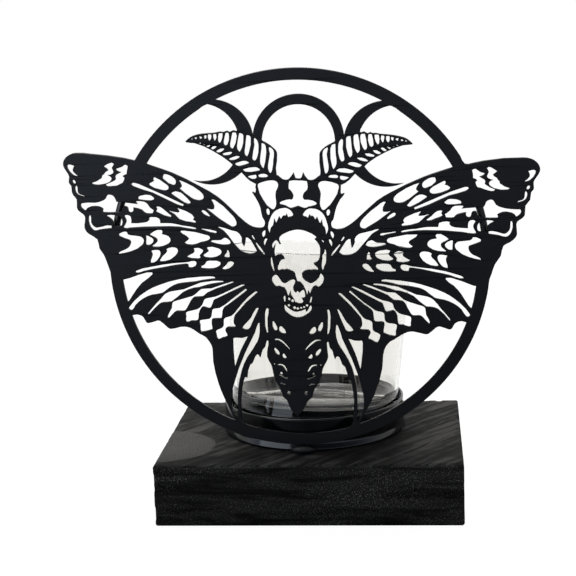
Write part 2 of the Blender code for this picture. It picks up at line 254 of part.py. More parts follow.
# Openings of the right fore wing, from the body outwards
FORE_WING_OPENINGS = [
    [(17.2, 3.9), (18.3, 6.0), (19.8, 8.1), (20.5, 9.0), (21.2, 9.5), (21.8, 9.4), (22.0, 8.6),
     (22.1, 6.6), (22.5, 5.6), (22.9, 6.2), (23.7, 8.1), (23.5, 9.2), (24.2, 10.4), (25.6, 11.8),
     (26.5, 12.0), (30.0, 12.8), (33.0, 13.8), (33.6, 13.6), (32.5, 12.9), (31.0, 12.1), (30.2, 11.3),
     (28.5, 9.2), (26.5, 6.5), (24.3, 4.2), (23.0, 3.4), (21.5, 2.9), (20.0, 2.8), (18.5, 2.9)],
    [(28.2, 7.0), (28.4, 7.8), (30.1, 9.05), (30.8, 9.15), (31.5, 8.7), (32.2, 8.2), (33.5, 8.0),
     (36.3, 7.8), (36.5, 7.4), (34.5, 6.75), (31.5, 6.4), (28.8, 6.55)],
    [(28.7, 1.0), (28.7, 2.2), (28.9, 3.2), (29.4, 4.1), (29.75, 4.1), (30.0, 2.4), (30.6, 1.8),
     (30.9, 1.3), (30.6, 1.05)],
    [(32.1, 3.0), (32.3, 3.9), (33.2, 4.5), (34.8, 4.95), (36.5, 5.05), (38.0, 5.0), (38.3, 4.6),
     (37.5, 3.7), (37.5, 3.2), (38.2, 2.7), (39.7, 1.7), (39.5, 1.2), (37.5, 0.75), (36.5, 0.7),
     (33.0, 1.8)],
    [(39.9, 3.2), (40.1, 4.0), (41.0, 4.3), (42.5, 4.5), (43.6, 4.5), (43.9, 4.1), (43.5, 3.6),
     (43.5, 3.0), (44.0, 2.4), (46.0, 1.5), (46.6, 1.0), (46.2, 0.6), (44.5, 0.5), (41.2, 0.45),
     (40.9, 0.9), (41.3, 1.6), (40.9, 2.1)],
    [(26.8, -1.6), (27.2, -1.0), (28.2, -0.9), (29.1, -1.0), (30.2, -2.5), (31.8, -3.9), (31.4, -4.2),
     (29.0, -3.7), (27.8, -3.0)],
    [(32.5, -1.8), (32.8, -1.1), (33.8, -0.85), (38.0, -0.85), (38.5, -1.1), (39.4, -2.6), (40.4, -2.8),
     (40.8, -3.2), (40.6, -3.8), (37.5, -3.95), (35.5, -3.8), (33.2, -2.8)],
    [(42.7, -1.8), (43.0, -1.1), (44.0, -0.9), (45.2, -1.0), (46.5, -1.5), (50.0, -1.75), (54.0, -2.2),
     (60.0, -3.3), (64.0, -4.2), (67.5, -5.2), (68.5, -5.7), (68.7, -6.2), (67.2, -6.3), (64.5, -5.3),
     (59.0, -4.3), (55.0, -3.3), (51.0, -2.7), (47.3, -2.1), (46.3, -2.2), (46.0, -2.8), (46.0, -3.5),
     (45.3, -3.65), (44.0, -3.4), (43.1, -2.8)],
    [(36.95, 8.8), (37.0, 9.5), (37.6, 10.0), (40.5, 10.6), (44.0, 11.3), (48.0, 11.9), (49.0, 11.95),
     (49.4, 11.6), (49.1, 11.0), (46.9, 9.7), (45.8, 8.6), (46.0, 8.0), (46.9, 7.5), (47.5, 6.9),
     (47.2, 6.45), (44.0, 6.35), (42.3, 6.5), (40.5, 7.4), (37.8, 8.0)],
    [(50.5, 3.2), (50.7, 4.1), (51.5, 4.65), (53.0, 4.7), (55.2, 4.1), (55.5, 3.8), (55.1, 3.2),
     (55.6, 2.2), (57.4, 0.5), (58.3, -1.1), (57.8, -1.3), (55.0, -0.7), (53.9, -0.5), (52.3, 0.8),
     (51.0, 2.1)],
    [(57.9, 2.0), (58.1, 3.0), (58.5, 3.45), (59.5, 3.5), (61.8, 3.3), (61.9, 3.0), (61.3, 1.9),
     (61.4, 0.5), (62.2, -1.5), (62.1, -2.0), (60.5, -1.7), (58.8, 0.0)],
    [(56.9, 11.3), (57.1, 11.9), (57.8, 12.2), (58.8, 12.2), (60.3, 11.3), (62.3, 10.1), (61.8, 9.6),
     (60.1, 8.9), (59.3, 8.3), (59.1, 7.2), (59.9, 6.2), (61.3, 5.3), (61.2, 4.9), (58.5, 4.95),
     (55.5, 5.9), (54.4, 6.5), (53.6, 7.6), (53.9, 8.8), (54.7, 9.6), (55.8, 10.0), (57.0, 10.1),
     (57.4, 10.4)],
    [(60.8, 7.5), (61.1, 8.3), (62.9, 9.4), (63.9, 9.7), (64.05, 9.2), (63.8, 7.5), (64.0, 6.0),
     (63.6, 5.6), (61.8, 6.1)],
    [(64.9, 7.3), (65.1, 8.2), (65.9, 8.9), (67.5, 9.4), (71.7, 10.1), (72.0, 10.9), (72.6, 11.1),
     (74.6, 10.6), (75.4, 10.1), (75.3, 9.3), (74.2, 8.9), (71.7, 8.0), (70.5, 7.2), (70.5, 6.0),
     (71.5, 4.3), (72.5, 3.6), (75.6, 2.0), (75.7, 1.6), (73.5, 2.0), (70.5, 2.8), (67.8, 4.3),
     (65.6, 5.7)],
    [(26.2, 14.3), (27.0, 14.0), (28.0, 14.1), (30.5, 15.8), (34.5, 18.6), (38.4, 21.5), (36.0, 21.0),
     (35.2, 21.1), (34.9, 21.7), (35.2, 23.3), (36.2, 25.1), (35.3, 25.2), (33.0, 23.6), (30.0, 21.0),
     (26.5, 17.5), (25.7, 15.2)],
    [(36.8, 18.5), (38.3, 19.9), (39.2, 20.6), (39.9, 20.7), (40.4, 20.3), (40.1, 19.7), (38.3, 18.4),
     (37.0, 18.0)],
    [(39.4, 26.2), (39.6, 25.5), (40.3, 25.1), (41.5, 24.9), (43.0, 25.1), (45.2, 26.2), (47.8, 28.3),
     (49.5, 29.7), (48.7, 30.1), (48.5, 30.8), (49.3, 32.4), (49.8, 33.1), (48.8, 32.9), (44.5, 30.8),
     (41.5, 29.0), (39.8, 27.4)],
    [(51.0, 32.8), (51.1, 31.8), (51.6, 31.2), (52.3, 31.1), (54.0, 32.2), (56.2, 33.5), (56.5, 34.1),
     (56.0, 35.5), (54.8, 35.5), (51.8, 33.9)],
    [(54.1, 30.3), (54.2, 29.5), (54.7, 29.0), (55.8, 28.8), (58.3, 29.3), (61.0, 30.3), (62.2, 31.0),
     (62.2, 31.6), (60.6, 32.2), (60.1, 32.6), (60.5, 33.6), (60.0, 34.2), (59.2, 33.9), (56.0, 31.9)],
    [(48.2, 22.2), (50.0, 22.75), (54.0, 24.4), (58.0, 26.4), (62.0, 28.2), (66.0, 29.45), (69.7, 30.8),
     (70.0, 31.3), (69.5, 31.7), (66.0, 30.9), (62.0, 29.3), (58.0, 27.6), (54.0, 25.75), (50.0, 23.95),
     (47.8, 22.9)],
    [(44.9, 24.0), (45.2, 23.5), (46.0, 23.3), (46.9, 23.6), (49.2, 24.9), (51.5, 26.3), (53.0, 27.5),
     (52.6, 27.9), (50.4, 28.4), (49.2, 28.0), (47.3, 26.6)],
    [(50.8, 21.5), (49.3, 21.0), (47.0, 20.1), (45.0, 19.2), (43.7, 18.0), (43.5, 17.4), (44.0, 16.6),
     (42.8, 15.9), (43.0, 15.3), (43.6, 15.3), (45.5, 15.9), (49.6, 16.7), (50.3, 17.2), (51.7, 18.8),
     (52.5, 19.4), (53.9, 20.0), (53.8, 20.3), (52.0, 19.9), (50.1, 19.5), (49.6, 19.8), (49.9, 20.5)],
    [(53.0, 18.0), (53.2, 17.7), (53.9, 17.7), (55.8, 18.3), (58.2, 19.4), (59.3, 19.6), (59.6, 20.0),
     (59.0, 20.8), (59.5, 21.6), (59.2, 21.9), (57.3, 21.5), (56.4, 21.0), (55.6, 20.0), (54.0, 18.9)],
    [(42.5, 12.8), (43.2, 13.3), (45.0, 13.5), (48.3, 14.0), (50.0, 14.5), (54.0, 15.0), (57.8, 14.9),
     (58.0, 15.4), (58.2, 16.8), (59.0, 17.1), (62.0, 17.4), (62.6, 17.1), (62.3, 16.4), (63.0, 15.6),
     (64.3, 15.1), (66.0, 14.9), (70.1, 14.7), (70.2, 17.2), (70.8, 17.9), (71.6, 18.1), (72.6, 18.0),
     (73.0, 17.5), (72.2, 16.2), (72.2, 15.0), (73.0, 13.9), (73.5, 13.0), (73.2, 12.7), (70.0, 13.0),
     (62.0, 13.4), (54.0, 13.7), (48.3, 13.45), (45.0, 12.95), (43.4, 12.6)],
    [(34.0, 11.4), (34.3, 11.9), (37.0, 12.3), (39.5, 12.85), (40.4, 12.9), (40.4, 12.5), (37.0, 11.85),
     (34.6, 11.1)],
    [(71.1, 38.6), (71.6, 39.1), (72.5, 39.2), (73.4, 38.4), (74.2, 38.0), (76.1, 37.5), (75.9, 36.9),
     (74.0, 36.2), (74.1, 35.9), (75.5, 35.3), (76.5, 34.3), (76.3, 33.1), (78.0, 31.9), (80.6, 30.9),
     (80.3, 30.4), (79.0, 30.2), (75.2, 31.4), (73.4, 31.8), (73.0, 32.6), (72.6, 33.9), (73.3, 34.3),
     (73.2, 34.7), (71.6, 35.4), (71.6, 36.9)],
    [(77.0, 39.4), (77.4, 39.9), (78.2, 40.0), (80.0, 39.1), (81.3, 38.4), (80.9, 38.0), (79.5, 37.1),
     (79.6, 36.6), (81.0, 35.8), (81.5, 34.8), (82.2, 34.5), (82.4, 33.4), (83.8, 32.7), (86.7, 31.5),
     (86.3, 31.1), (83.0, 31.0), (81.0, 31.2), (78.4, 32.6), (78.1, 33.3), (78.4, 34.1), (79.8, 34.8),
     (77.8, 35.4), (77.2, 36.3), (77.9, 37.8), (77.8, 38.3)],
    [(93.8, 38.5), (94.5, 38.8), (96.3, 39.0), (96.8, 38.5), (96.6, 37.6), (95.4, 35.9), (94.2, 34.7),
     (92.4, 34.2), (92.3, 34.5), (93.7, 35.5), (94.5, 36.7)],
    [(93.5, 32.2), (94.0, 32.7), (94.6, 32.6), (94.6, 31.8), (94.0, 31.1), (93.3, 31.2)],
    [(92.6, 29.5), (92.9, 30.3), (93.3, 30.2), (93.6, 29.3), (93.5, 28.2), (93.1, 27.2), (92.3, 26.5),
     (89.7, 25.7), (89.8, 26.0), (91.8, 26.7), (92.5, 27.5)],
    [(60.2, 25.3), (60.8, 26.0), (61.8, 26.6), (63.5, 26.7), (66.2, 26.2), (67.0, 25.5), (66.9, 24.9),
     (63.5, 24.5), (60.6, 24.8)],
    [(60.5, 20.4), (61.2, 21.0), (62.2, 21.5), (63.3, 23.2), (64.3, 23.8), (67.9, 24.1), (67.9, 23.6),
     (67.2, 22.8), (69.0, 22.9), (72.0, 23.4), (74.0, 23.4), (76.3, 23.7), (76.7, 25.0), (77.8, 26.3),
     (78.9, 26.6), (80.0, 26.4), (80.8, 24.9), (82.6, 23.8), (86.0, 23.0), (91.0, 22.8), (91.4, 21.8),
     (90.3, 20.3), (89.5, 19.8), (88.7, 20.9), (86.8, 21.6), (84.5, 21.8), (82.2, 21.0), (81.7, 20.5),
     (82.1, 19.9), (81.9, 19.3), (78.5, 19.3), (76.5, 19.5), (74.2, 19.7), (73.6, 20.6), (73.4, 21.6),
     (72.6, 22.0), (71.3, 21.2), (71.0, 19.7), (70.0, 19.4), (69.1, 20.2), (69.2, 21.4), (67.2, 21.1),
     (65.0, 20.2), (64.2, 19.3), (61.0, 19.1)],
    [(74.4, 16.9), (73.9, 16.0), (73.9, 14.6), (74.3, 13.7), (75.2, 13.5), (77.6, 13.7), (78.0, 15.9),
     (79.5, 17.2), (80.5, 17.7), (80.0, 18.0), (78.5, 18.0), (76.0, 17.8)],
    [(78.4, 13.3), (78.6, 13.7), (79.5, 13.75), (82.5, 13.3), (84.5, 12.6), (85.5, 12.8), (87.0, 14.4),
     (87.3, 16.0), (87.2, 17.5), (87.6, 18.0), (88.0, 17.5), (88.0, 15.4), (87.7, 13.5), (86.2, 11.6),
     (85.3, 11.4), (83.3, 12.0), (80.5, 12.2), (78.5, 12.6)]]

# Openings of the right hind wing: long rays that widen into cells near the edge
HIND_WING_OPENINGS = [
    [(34.7, -8.1), (35.0, -7.6), (36.0, -7.35), (40.0, -7.6), (44.0, -7.9), (48.0, -8.4), (52.0, -9.3),
     (56.0, -10.6), (60.0, -12.0), (64.0, -14.1), (67.0, -16.5), (69.5, -18.6), (71.3, -20.8),
     (71.9, -21.7), (71.4, -22.3), (70.7, -22.5), (70.0, -21.9), (69.0, -20.2), (66.0, -17.6),
     (62.0, -15.7), (58.0, -14.9), (57.2, -14.7), (55.0, -12.9), (51.5, -10.9), (48.0, -10.1),
     (44.0, -9.6), (42.2, -9.5), (40.0, -8.8), (36.0, -8.4)],
    [(31.2, -9.6), (31.6, -9.2), (33.0, -9.2), (37.0, -9.8), (41.0, -10.1), (43.5, -11.0), (46.5, -12.3),
     (48.7, -13.3), (51.5, -13.8), (54.3, -14.3), (56.7, -15.7), (58.2, -17.7), (61.0, -20.5),
     (63.0, -22.9), (63.8, -24.0), (63.5, -24.3), (61.5, -22.5), (59.5, -20.3), (58.5, -19.3),
     (55.5, -18.5), (53.6, -18.4), (52.0, -17.0), (50.0, -15.4), (48.3, -14.1), (46.0, -13.3),
     (43.3, -12.1), (41.5, -12.0), (39.0, -11.1), (35.0, -10.1), (31.8, -9.8)],
    [(26.8, -9.6), (27.5, -9.4), (29.0, -9.8), (33.0, -11.1), (36.5, -12.5), (38.0, -12.75),
     (40.5, -12.8), (41.3, -13.2), (43.5, -15.3), (45.0, -16.1), (49.0, -17.4), (52.5, -18.5),
     (53.1, -19.0), (53.4, -21.3), (54.7, -24.1), (55.3, -25.2), (55.0, -25.7), (54.0, -24.9),
     (52.6, -23.2), (51.5, -22.4), (50.5, -22.2), (48.8, -22.4), (47.8, -22.1), (46.2, -19.3),
     (44.8, -17.2), (43.8, -16.2), (42.0, -16.0), (40.2, -15.9), (38.3, -14.3), (35.5, -13.0),
     (31.5, -11.4), (27.7, -10.1)],
    [(22.3, -10.8), (23.1, -10.5), (25.5, -11.7), (28.5, -13.0), (31.5, -14.3), (34.5, -15.9),
     (36.0, -16.3), (39.0, -17.0), (39.7, -17.6), (40.2, -19.3), (42.0, -21.2), (43.0, -21.8),
     (46.5, -22.6), (47.4, -23.3), (47.2, -25.4), (47.4, -26.6), (46.9, -27.1), (44.5, -26.3),
     (43.0, -26.4), (42.3, -26.0), (42.0, -23.5), (40.9, -20.9), (40.2, -20.3), (39.3, -20.3),
     (37.4, -20.9), (36.7, -20.5), (36.0, -18.3), (35.4, -17.3), (33.5, -16.5), (31.0, -15.1),
     (28.0, -13.7), (25.0, -12.1)],
    [(21.3, -12.8), (22.0, -12.4), (24.2, -14.0), (26.5, -15.8), (28.0, -17.1), (31.0, -19.5),
     (33.0, -20.8), (36.0, -21.5), (36.3, -22.3), (36.4, -24.2), (37.3, -25.5), (38.3, -25.9),
     (41.1, -26.2), (41.6, -26.9), (41.1, -28.8), (41.2, -30.8), (40.8, -31.3), (39.0, -30.8),
     (36.8, -30.3), (36.1, -29.9), (36.5, -27.0), (36.2, -25.5), (35.4, -25.2), (32.6, -25.2),
     (32.1, -24.6), (31.9, -22.2), (31.2, -20.5), (29.0, -19.0), (26.8, -17.1), (24.5, -15.3),
     (22.2, -13.4)],
    [(16.9, -13.6), (17.5, -13.4), (19.8, -15.2), (22.2, -17.6), (24.2, -19.5), (26.0, -22.0),
     (28.0, -24.1), (31.0, -25.3), (31.4, -26.2), (31.4, -28.5), (32.0, -29.4), (34.4, -30.6),
     (34.7, -31.4), (34.0, -33.0), (33.8, -34.1), (33.1, -34.2), (31.5, -33.2), (30.0, -32.9),
     (29.8, -32.4), (30.7, -30.4), (30.5, -29.5), (29.5, -28.8), (26.8, -28.8), (26.2, -28.4),
     (27.0, -27.4), (27.0, -25.2), (26.4, -23.5), (24.2, -21.3), (21.8, -18.8), (19.8, -16.6),
     (17.6, -14.4)]]

# Openings of the skull, which was drawn by hand and differs from left to right
SKULL_OPENINGS = [
    [(0, 13.1), (1.5, 12.9), (3.0, 12.6), (4.5, 12.0), (6.0, 11.3), (7.2, 10.5), (7.7, 9.9), (6.8, 9.3),
     (7.8, 8.2), (8.5, 7.3), (9.0, 6.4), (9.2, 5.0), (9.2, 3.5), (9.0, 1.8), (8.6, 0.4), (8.0, -0.2),
     (6.5, -0.7), (6.6, -1.2), (7.9, -2.3), (8.6, -3.4), (8.2, -3.75), (7.4, -3.45), (6.5, -3.6),
     (5.6, -3.8), (4.8, -3.6), (3.1, -4.1), (2.2, -4.6), (1.7, -5.4), (2.0, -6.8), (2.5, -7.9),
     (4.0, -8.9), (5.4, -9.5), (6.7, -9.0), (8.0, -7.9), (9.0, -6.8), (9.2, -5.8), (9.7, -5.2),
     (10.3, -5.8), (10.9, -7.3), (10.6, -8.4), (9.5, -10.3), (8.9, -10.9), (8.4, -10.9), (7.9, -10.4),
     (7.3, -10.4), (6.0, -11.4), (5.6, -12.6), (5.1, -13.9), (4.8, -13.0), (4.3, -12.5), (4.2, -13.2),
     (4.2, -14.2), (3.8, -14.2), (3.5, -12.8), (2.4, -11.2), (1.6, -9.8), (1.0, -8.9), (-0.2, -8.7),
     (-0.6, -7.0), (-1.1, -5.3), (-1.7, -4.7), (-3.8, -3.8), (-4.5, -3.5), (-5.3, -3.8), (-6.3, -3.6),
     (-7.9, -4.2), (-8.4, -3.7), (-8.0, -1.8), (-7.0, 0.1), (-6.3, 0.5), (-5.4, 0.6), (-5.7, 1.4),
     (-6.8, 2.6), (-7.6, 2.7), (-8.9, 2.2), (-9.4, 1.7), (-9.7, 2.4), (-9.8, 3.6), (-9.2, 6.4),
     (-9.0, 7.5), (-9.5, 7.1), (-10.4, 5.0), (-10.8, 6.1), (-9.9, 7.9), (-9.3, 8.5), (-8.7, 8.4),
     (-8.0, 7.1), (-7.4, 6.7), (-7.1, 7.0), (-7.8, 8.5), (-7.7, 9.6), (-6.3, 11.0), (-4.5, 11.9),
     (-2.4, 12.7)],
    [(-9.4, -6.2), (-8.6, -6.4), (-7.8, -7.8), (-6.5, -9.2), (-5.3, -9.7), (-4.5, -9.3), (-2.8, -8.3),
     (-2.0, -7.95), (-1.4, -8.2), (-1.1, -8.8), (-1.7, -10.4), (-2.0, -11.2), (-1.6, -12.7),
     (-0.9, -13.7), (-0.6, -13.7), (-0.1, -12.8), (0.5, -13.7), (0.9, -13.5), (2.1, -12.2), (2.6, -12.5),
     (2.8, -13.9), (3.2, -15.0), (2.9, -15.6), (1.6, -15.7), (1.6, -16.1), (2.3, -17.0), (2.0, -17.8),
     (1.0, -18.1), (0, -18.0), (-0.5, -17.6), (-0.9, -17.9), (-1.5, -16.4), (-2.0, -15.7), (-2.6, -15.1),
     (-2.7, -14.0), (-2.9, -13.0), (-3.2, -13.0), (-3.5, -14.3), (-3.9, -15.1), (-4.3, -14.6),
     (-4.5, -13.6), (-5.1, -12.4), (-5.6, -11.5), (-6.6, -11.4), (-7.4, -10.8), (-8.2, -11.0),
     (-9.0, -11.0), (-9.8, -10.4), (-10.8, -8.4), (-10.7, -7.3), (-10.2, -6.7)],
    [(-3.9, -15.7), (-3.4, -15.7), (-3.05, -16.3), (-3.3, -17.0), (-3.8, -17.0), (-4.1, -16.3)],
    [(-5.9, -15.1), (-5.5, -14.9), (-5.2, -15.2), (-5.15, -16.5), (-5.3, -17.6), (-5.6, -17.7),
     (-5.9, -17.0)],
    [(5.6, -15.2), (6.0, -15.4), (5.8, -17.0), (5.4, -17.9), (5.0, -17.8), (5.3, -16.3)],
    [(-5.5, -18.7), (-5.6, -19.8), (-5.4, -21.0), (-5.0, -21.6), (-3.2, -23.1), (-2.0, -23.8),
     (-0.7, -24.1), (0.8, -24.1), (2.0, -23.7), (4.3, -22.4), (5.6, -20.9), (5.9, -19.8), (5.7, -19.0),
     (5.2, -19.0), (4.5, -20.8), (3.9, -21.5), (3.4, -21.7), (3.3, -20.6), (1.8, -21.2), (-0.4, -21.8),
     (-1.6, -21.6), (-3.5, -20.6), (-4.2, -20.0), (-4.9, -19.4)],
    [(-11.4, 0.3), (-11.1, 1.4), (-10.8, 1.4), (-10.6, -0.5), (-9.9, -3.3), (-9.8, -4.8), (-10.3, -4.3),
     (-10.8, -2.0)],
    [(9.9, 8.4), (10.1, 8.9), (10.5, 8.8), (10.8, 8.3), (10.5, 7.9)],
    [(11.2, 5.0), (11.6, 4.5), (11.7, 1.0), (11.6, -0.9), (10.9, -2.1), (10.7, -3.5), (10.3, -3.7),
     (10.0, -3.0), (10.3, 0.5), (10.3, 2.8), (10.9, 3.2)]]
# Round gaps between the teeth: u, v and radius
TOOTH_GAPS = [(-2.15, -17.1, 0.6), (-3.7, -19.1, 0.5), (-1.3, -20.1, 0.62), (0, -20.4, 0.55),
              (1.45, -20.1, 0.42), (2.65, -19.7, 0.45), (3.9, -19.0, 0.52)]

# The arch and the two crescents above the antennae: centre u, v and radius of each edge
ARCH_OUTER = (0, 50.2, 18.9)
ARCH_INNER = (0, 49.8, 15.0)
CRESCENT_OUTER = (36.0, 49.0, 17.6)
CRESCENT_INNER = (40.4, 48.8, 16.0)


def clear_scene():
    """Remove every object, so that the script can be run again."""
    for item in list(bpy.data.objects):
        bpy.data.objects.remove(item, do_unlink=True)


def finish_material(name, colour, roughness, metallic, transmission=0.0):
    """A Principled BSDF with one plain finish."""
    material = bpy.data.materials.new(name)
    material.use_nodes = True
    shader = material.node_tree.nodes["Principled BSDF"]
    shader.inputs["Base Color"].default_value = (*colour, 1.0)
    shader.inputs["Roughness"].default_value = roughness
    shader.inputs["Metallic"].default_value = metallic
    shader.inputs["Transmission Weight"].default_value = transmission
    return material


def add_piece(name, data, material):
    """Put a mesh or curve into the scene under its piece's name."""
    data.materials.append(material)
    piece = bpy.data.objects.new(name, data)
    bpy.context.collection.objects.link(piece)
    return piece


def mesh_from(bm, name):
    """Close a bmesh into a smooth shaded mesh whose creases stay sharp."""
    bmesh.ops.recalc_face_normals(bm, faces=bm.faces)
    mesh = bpy.data.meshes.new(name)
    bm.to_mesh(mesh)
    bm.free()
    mesh.shade_smooth()
    mesh.set_sharp_from_angle(angle=SHARP_ANGLE)
    return mesh


def turned_mesh(name, profile, steps):
    """Spin a profile of (radius, height) points about the Z axis."""
    bm = bmesh.new()
    ring = [bm.verts.new((radius, 0.0, height)) for radius, height in profile]
    edges = [bm.edges.new((ring[i], ring[(i + 1) % len(ring)])) for i in range(len(ring))]
    bmesh.ops.spin(bm, geom=ring + edges, cent=(0, 0, 0), axis=(0, 0, 1), angle=math.tau,
                   steps=steps, use_merge=True)
    bmesh.ops.remove_doubles(bm, verts=bm.verts, dist=WELD_DISTANCE)
    return mesh_from(bm, name)


def arc(centre_u, centre_v, radius, start, end, steps):
    """Points along an arc, with angles in degrees."""
    points = []
    for step in range(steps + 1):
        angle = math.radians(start + (end - start) * step / steps)
        points.append((centre_u + radius * math.cos(angle), centre_v + radius * math.sin(angle)))
    return points


def mirrored(points):
    """The same outline on the moth's left side."""
    return [(-u, v) for u, v in reversed(points)]


def whole(half):
    """Close a half outline, which starts and ends on the centre line."""
    return half + mirrored(half)[1:-1]


def smooth_outline(points):
    """Round a closed outline through its points, and keep its sharp corners."""
    spots = [Vector(point) for point in points]
    count = len(spots)
    turns, tangents = [], []
    for i, spot in enumerate(spots):
        before = (spot - spots[i - 1]).normalized()
        after = (spots[(i + 1) % count] - spot).normalized()
        turn = before.angle(after, 0.0)
        turns.append(turn)
        tangents.append(None if turn > CORNER_TURN else (before + after).normalized())
    outline = []
    for i, start in enumerate(spots):
        j = (i + 1) % count
        end = spots[j]
        span = (end - start).length
        leave = tangents[i] or (end - start).normalized()
        arrive = tangents[j] or (end - start).normalized()
        for step in range(CURVE_STEPS):
            t = step / CURVE_STEPS
            outline.append(start * (2 * t ** 3 - 3 * t ** 2 + 1) + end * (3 * t ** 2 - 2 * t ** 3)
                           + leave * span * (t ** 3 - 2 * t ** 2 + t)
                           + arrive * span * (t ** 3 - t ** 2))
    return thinned(outline, CURVE_STEPS * turns.index(max(turns)))


def thinned(spots, first):
    """Drop the points of a closed outline that lie within CHORD_ERROR of its chords."""
    spots = spots[first:] + spots[:first + 1]
    kept = [0]
    while kept[-1] < len(spots) - 1:
        end = kept[-1] + 1
        while end + 1 < len(spots) and chord_error(spots, kept[-1], end + 1) < CHORD_ERROR:
            end += 1
        kept.append(end)
    return [(spots[i].x, spots[i].y) for i in kept[:-1]]


def chord_error(spots, start, end):
    """How far the points between two others stray from the straight line between them."""
    chord = spots[end] - spots[start]
    if chord.length < MERGE_DISTANCE:
        return math.inf
    return max(abs(chord.cross(spot - spots[start])) / chord.length for spot in spots[start + 1:end])


def crescent_outline():
    """The lune left between two circles, from its upper horn to its lower one."""
    (u1, v1, r1), (u2, v2, r2) = CRESCENT_OUTER, CRESCENT_INNER
    apart = math.hypot(u2 - u1, v2 - v1)
    heading = math.degrees(math.atan2(v2 - v1, u2 - u1))
    along = (apart ** 2 + r1 ** 2 - r2 ** 2) / (2 * apart)
    outer = math.degrees(math.acos(along / r1))
    inner = math.degrees(math.acos((along - apart) / r2))
    back = arc(u1, v1, r1, heading + outer, heading + 360 - outer, 34)
    front = arc(u2, v2, r2, heading + 360 - inner, heading + inner, 28)
    return back + front[1:-1]


def circle(centre_u, centre_v, radius, steps):
    """A closed circle of evenly spaced points."""
    return arc(centre_u, centre_v, radius, 0, 360, steps)[:-1]


def panel_layers():
    """The panel as layers of (is metal, outline): a later layer hides an earlier one."""
    half_moth = (HEAD_TOP + FRONT_LEG_EDGE + FORE_WING_TOP + FORE_WING_TIP + HIND_WING_EDGE
                 + INNER_LEG_EDGE + TAIL_EDGE)
    ring_inner_radius = DRAWN_RING_RADIUS - DRAWN_BAND
    triangle = RING_TRIANGLE + arc(0, 0, ring_inner_radius, *TRIANGLE_RING_ANGLES, 3)
    layers = [(True, circle(0, 0, DRAWN_RING_RADIUS, 96)),
              (False, circle(0, 0, ring_inner_radius, 96)),
              (True, smooth_outline(whole(half_moth)))]
    for side in (list, mirrored):
        layers.append((False, smooth_outline(side(triangle))))
    arch = arc(*ARCH_OUTER, -2, 182, 30) + arc(*ARCH_INNER, 182, -2, 26)
    layers.append((True, arch))
    for side in (list, mirrored):
        layers.append((True, side(crescent_outline())))
        layers.append((True, smooth_outline(side(ANTENNA))))
    for opening in ANTENNA_OPENINGS + BODY_OPENINGS + FORE_WING_OPENINGS + HIND_WING_OPENINGS:
        for side in (list, mirrored):
            layers.append((False, smooth_outline(side(opening))))
    layers.append((False, smooth_outline(whole(HEAD_OPENING))))
    for opening in SKULL_OPENINGS:
        layers.append((False, smooth_outline(opening)))
    for u, v, radius in TOOTH_GAPS:
        layers.append((False, circle(u, v, radius, 8)))
    return layers


def flat_metal(layers):
    """Triangles of the metal that stays when the layers are laid over each other."""
    points, faces = [], []
    for _, outline in layers:
        sides = zip(outline, outline[1:] + outline[:1])
        doubled_area = sum(u1 * v2 - u2 * v1 for (u1, v1), (u2, v2) in sides)
        order = list(range(len(points), len(points) + len(outline)))
        faces.append(order if doubled_area > 0 else order[::-1])
        points.extend(Vector(point) for point in outline)
    spots, _, triangles, _, _, owners = delaunay_2d_cdt(points, [], faces, 1, MERGE_DISTANCE)
    kept = [tri for tri, owner in zip(triangles, owners) if owner and layers[max(owner)][0]]
    return spots, kept


def make_panel(material):
    """Cut the ring and moth from one sheet, and stand it on the holder's lean."""
    spots, triangles = flat_metal(panel_layers())
    bm = bmesh.new()
    verts = [bm.verts.new((spot.x * DRAWING_SCALE, 0.0, spot.y * DRAWING_SCALE)) for spot in spots]
    for triangle in triangles:
        bm.faces.new([verts[i] for i in triangle])
    loose = [vert for vert in bm.verts if not vert.link_faces]
    bmesh.ops.delete(bm, geom=loose, context="VERTS")
    inner = [vert for vert in bm.verts if not vert.is_boundary]
    bmesh.ops.dissolve_verts(bm, verts=inner)
    bmesh.ops.triangulate(bm, faces=bm.faces)
    grown = bmesh.ops.extrude_face_region(bm, geom=list(bm.faces), use_keep_orig=True)
    moved = [item for item in grown["geom"] if isinstance(item, bmesh.types.BMVert)]
    bmesh.ops.translate(bm, verts=moved, vec=(0, PANEL_SHEET, 0))
    panel = add_piece("moth_panel", mesh_from(bm, "moth_panel"), material)
    panel.location = RING_CENTRE
    panel.rotation_euler = (0, PANEL_LEAN, 0)


def make_brace(name, side, material):
    """Bend a round bar to the ring's curve behind one wing."""
    radius = RING_RADIUS - BRACE_ROD_RADIUS
    curve = bpy.data.curves.new(name, "CURVE")
    curve.dimensions = "3D"
    curve.bevel_depth = BRACE_ROD_RADIUS
    curve.bevel_resolution = 4
    curve.use_fill_caps = True
    path = curve.splines.new("POLY")
    path.points.add(BRACE_STEPS)
    for step, point in enumerate(path.points):
        angle = BRACE_LOW_ANGLE + (BRACE_HIGH_ANGLE - BRACE_LOW_ANGLE) * step / BRACE_STEPS
        depth = PANEL_SHEET + GAP + BRACE_ROD_RADIUS
        point.co = (side * radius * math.cos(angle), depth, radius * math.sin(angle), 1)
    brace = add_piece(name, curve, material)
    brace.location = RING_CENTRE
    brace.rotation_euler = (0, PANEL_LEAN, 0)


def cut_with(piece, cutter):
    """Cut a hidden cutter out of a piece."""
    cutter.hide_render = True
    cutter.display_type = "WIRE"
    cut = piece.modifiers.new(cutter.name, "BOOLEAN")
    cut.operation = "DIFFERENCE"
    cut.solver = "EXACT"
    cut.object = cutter


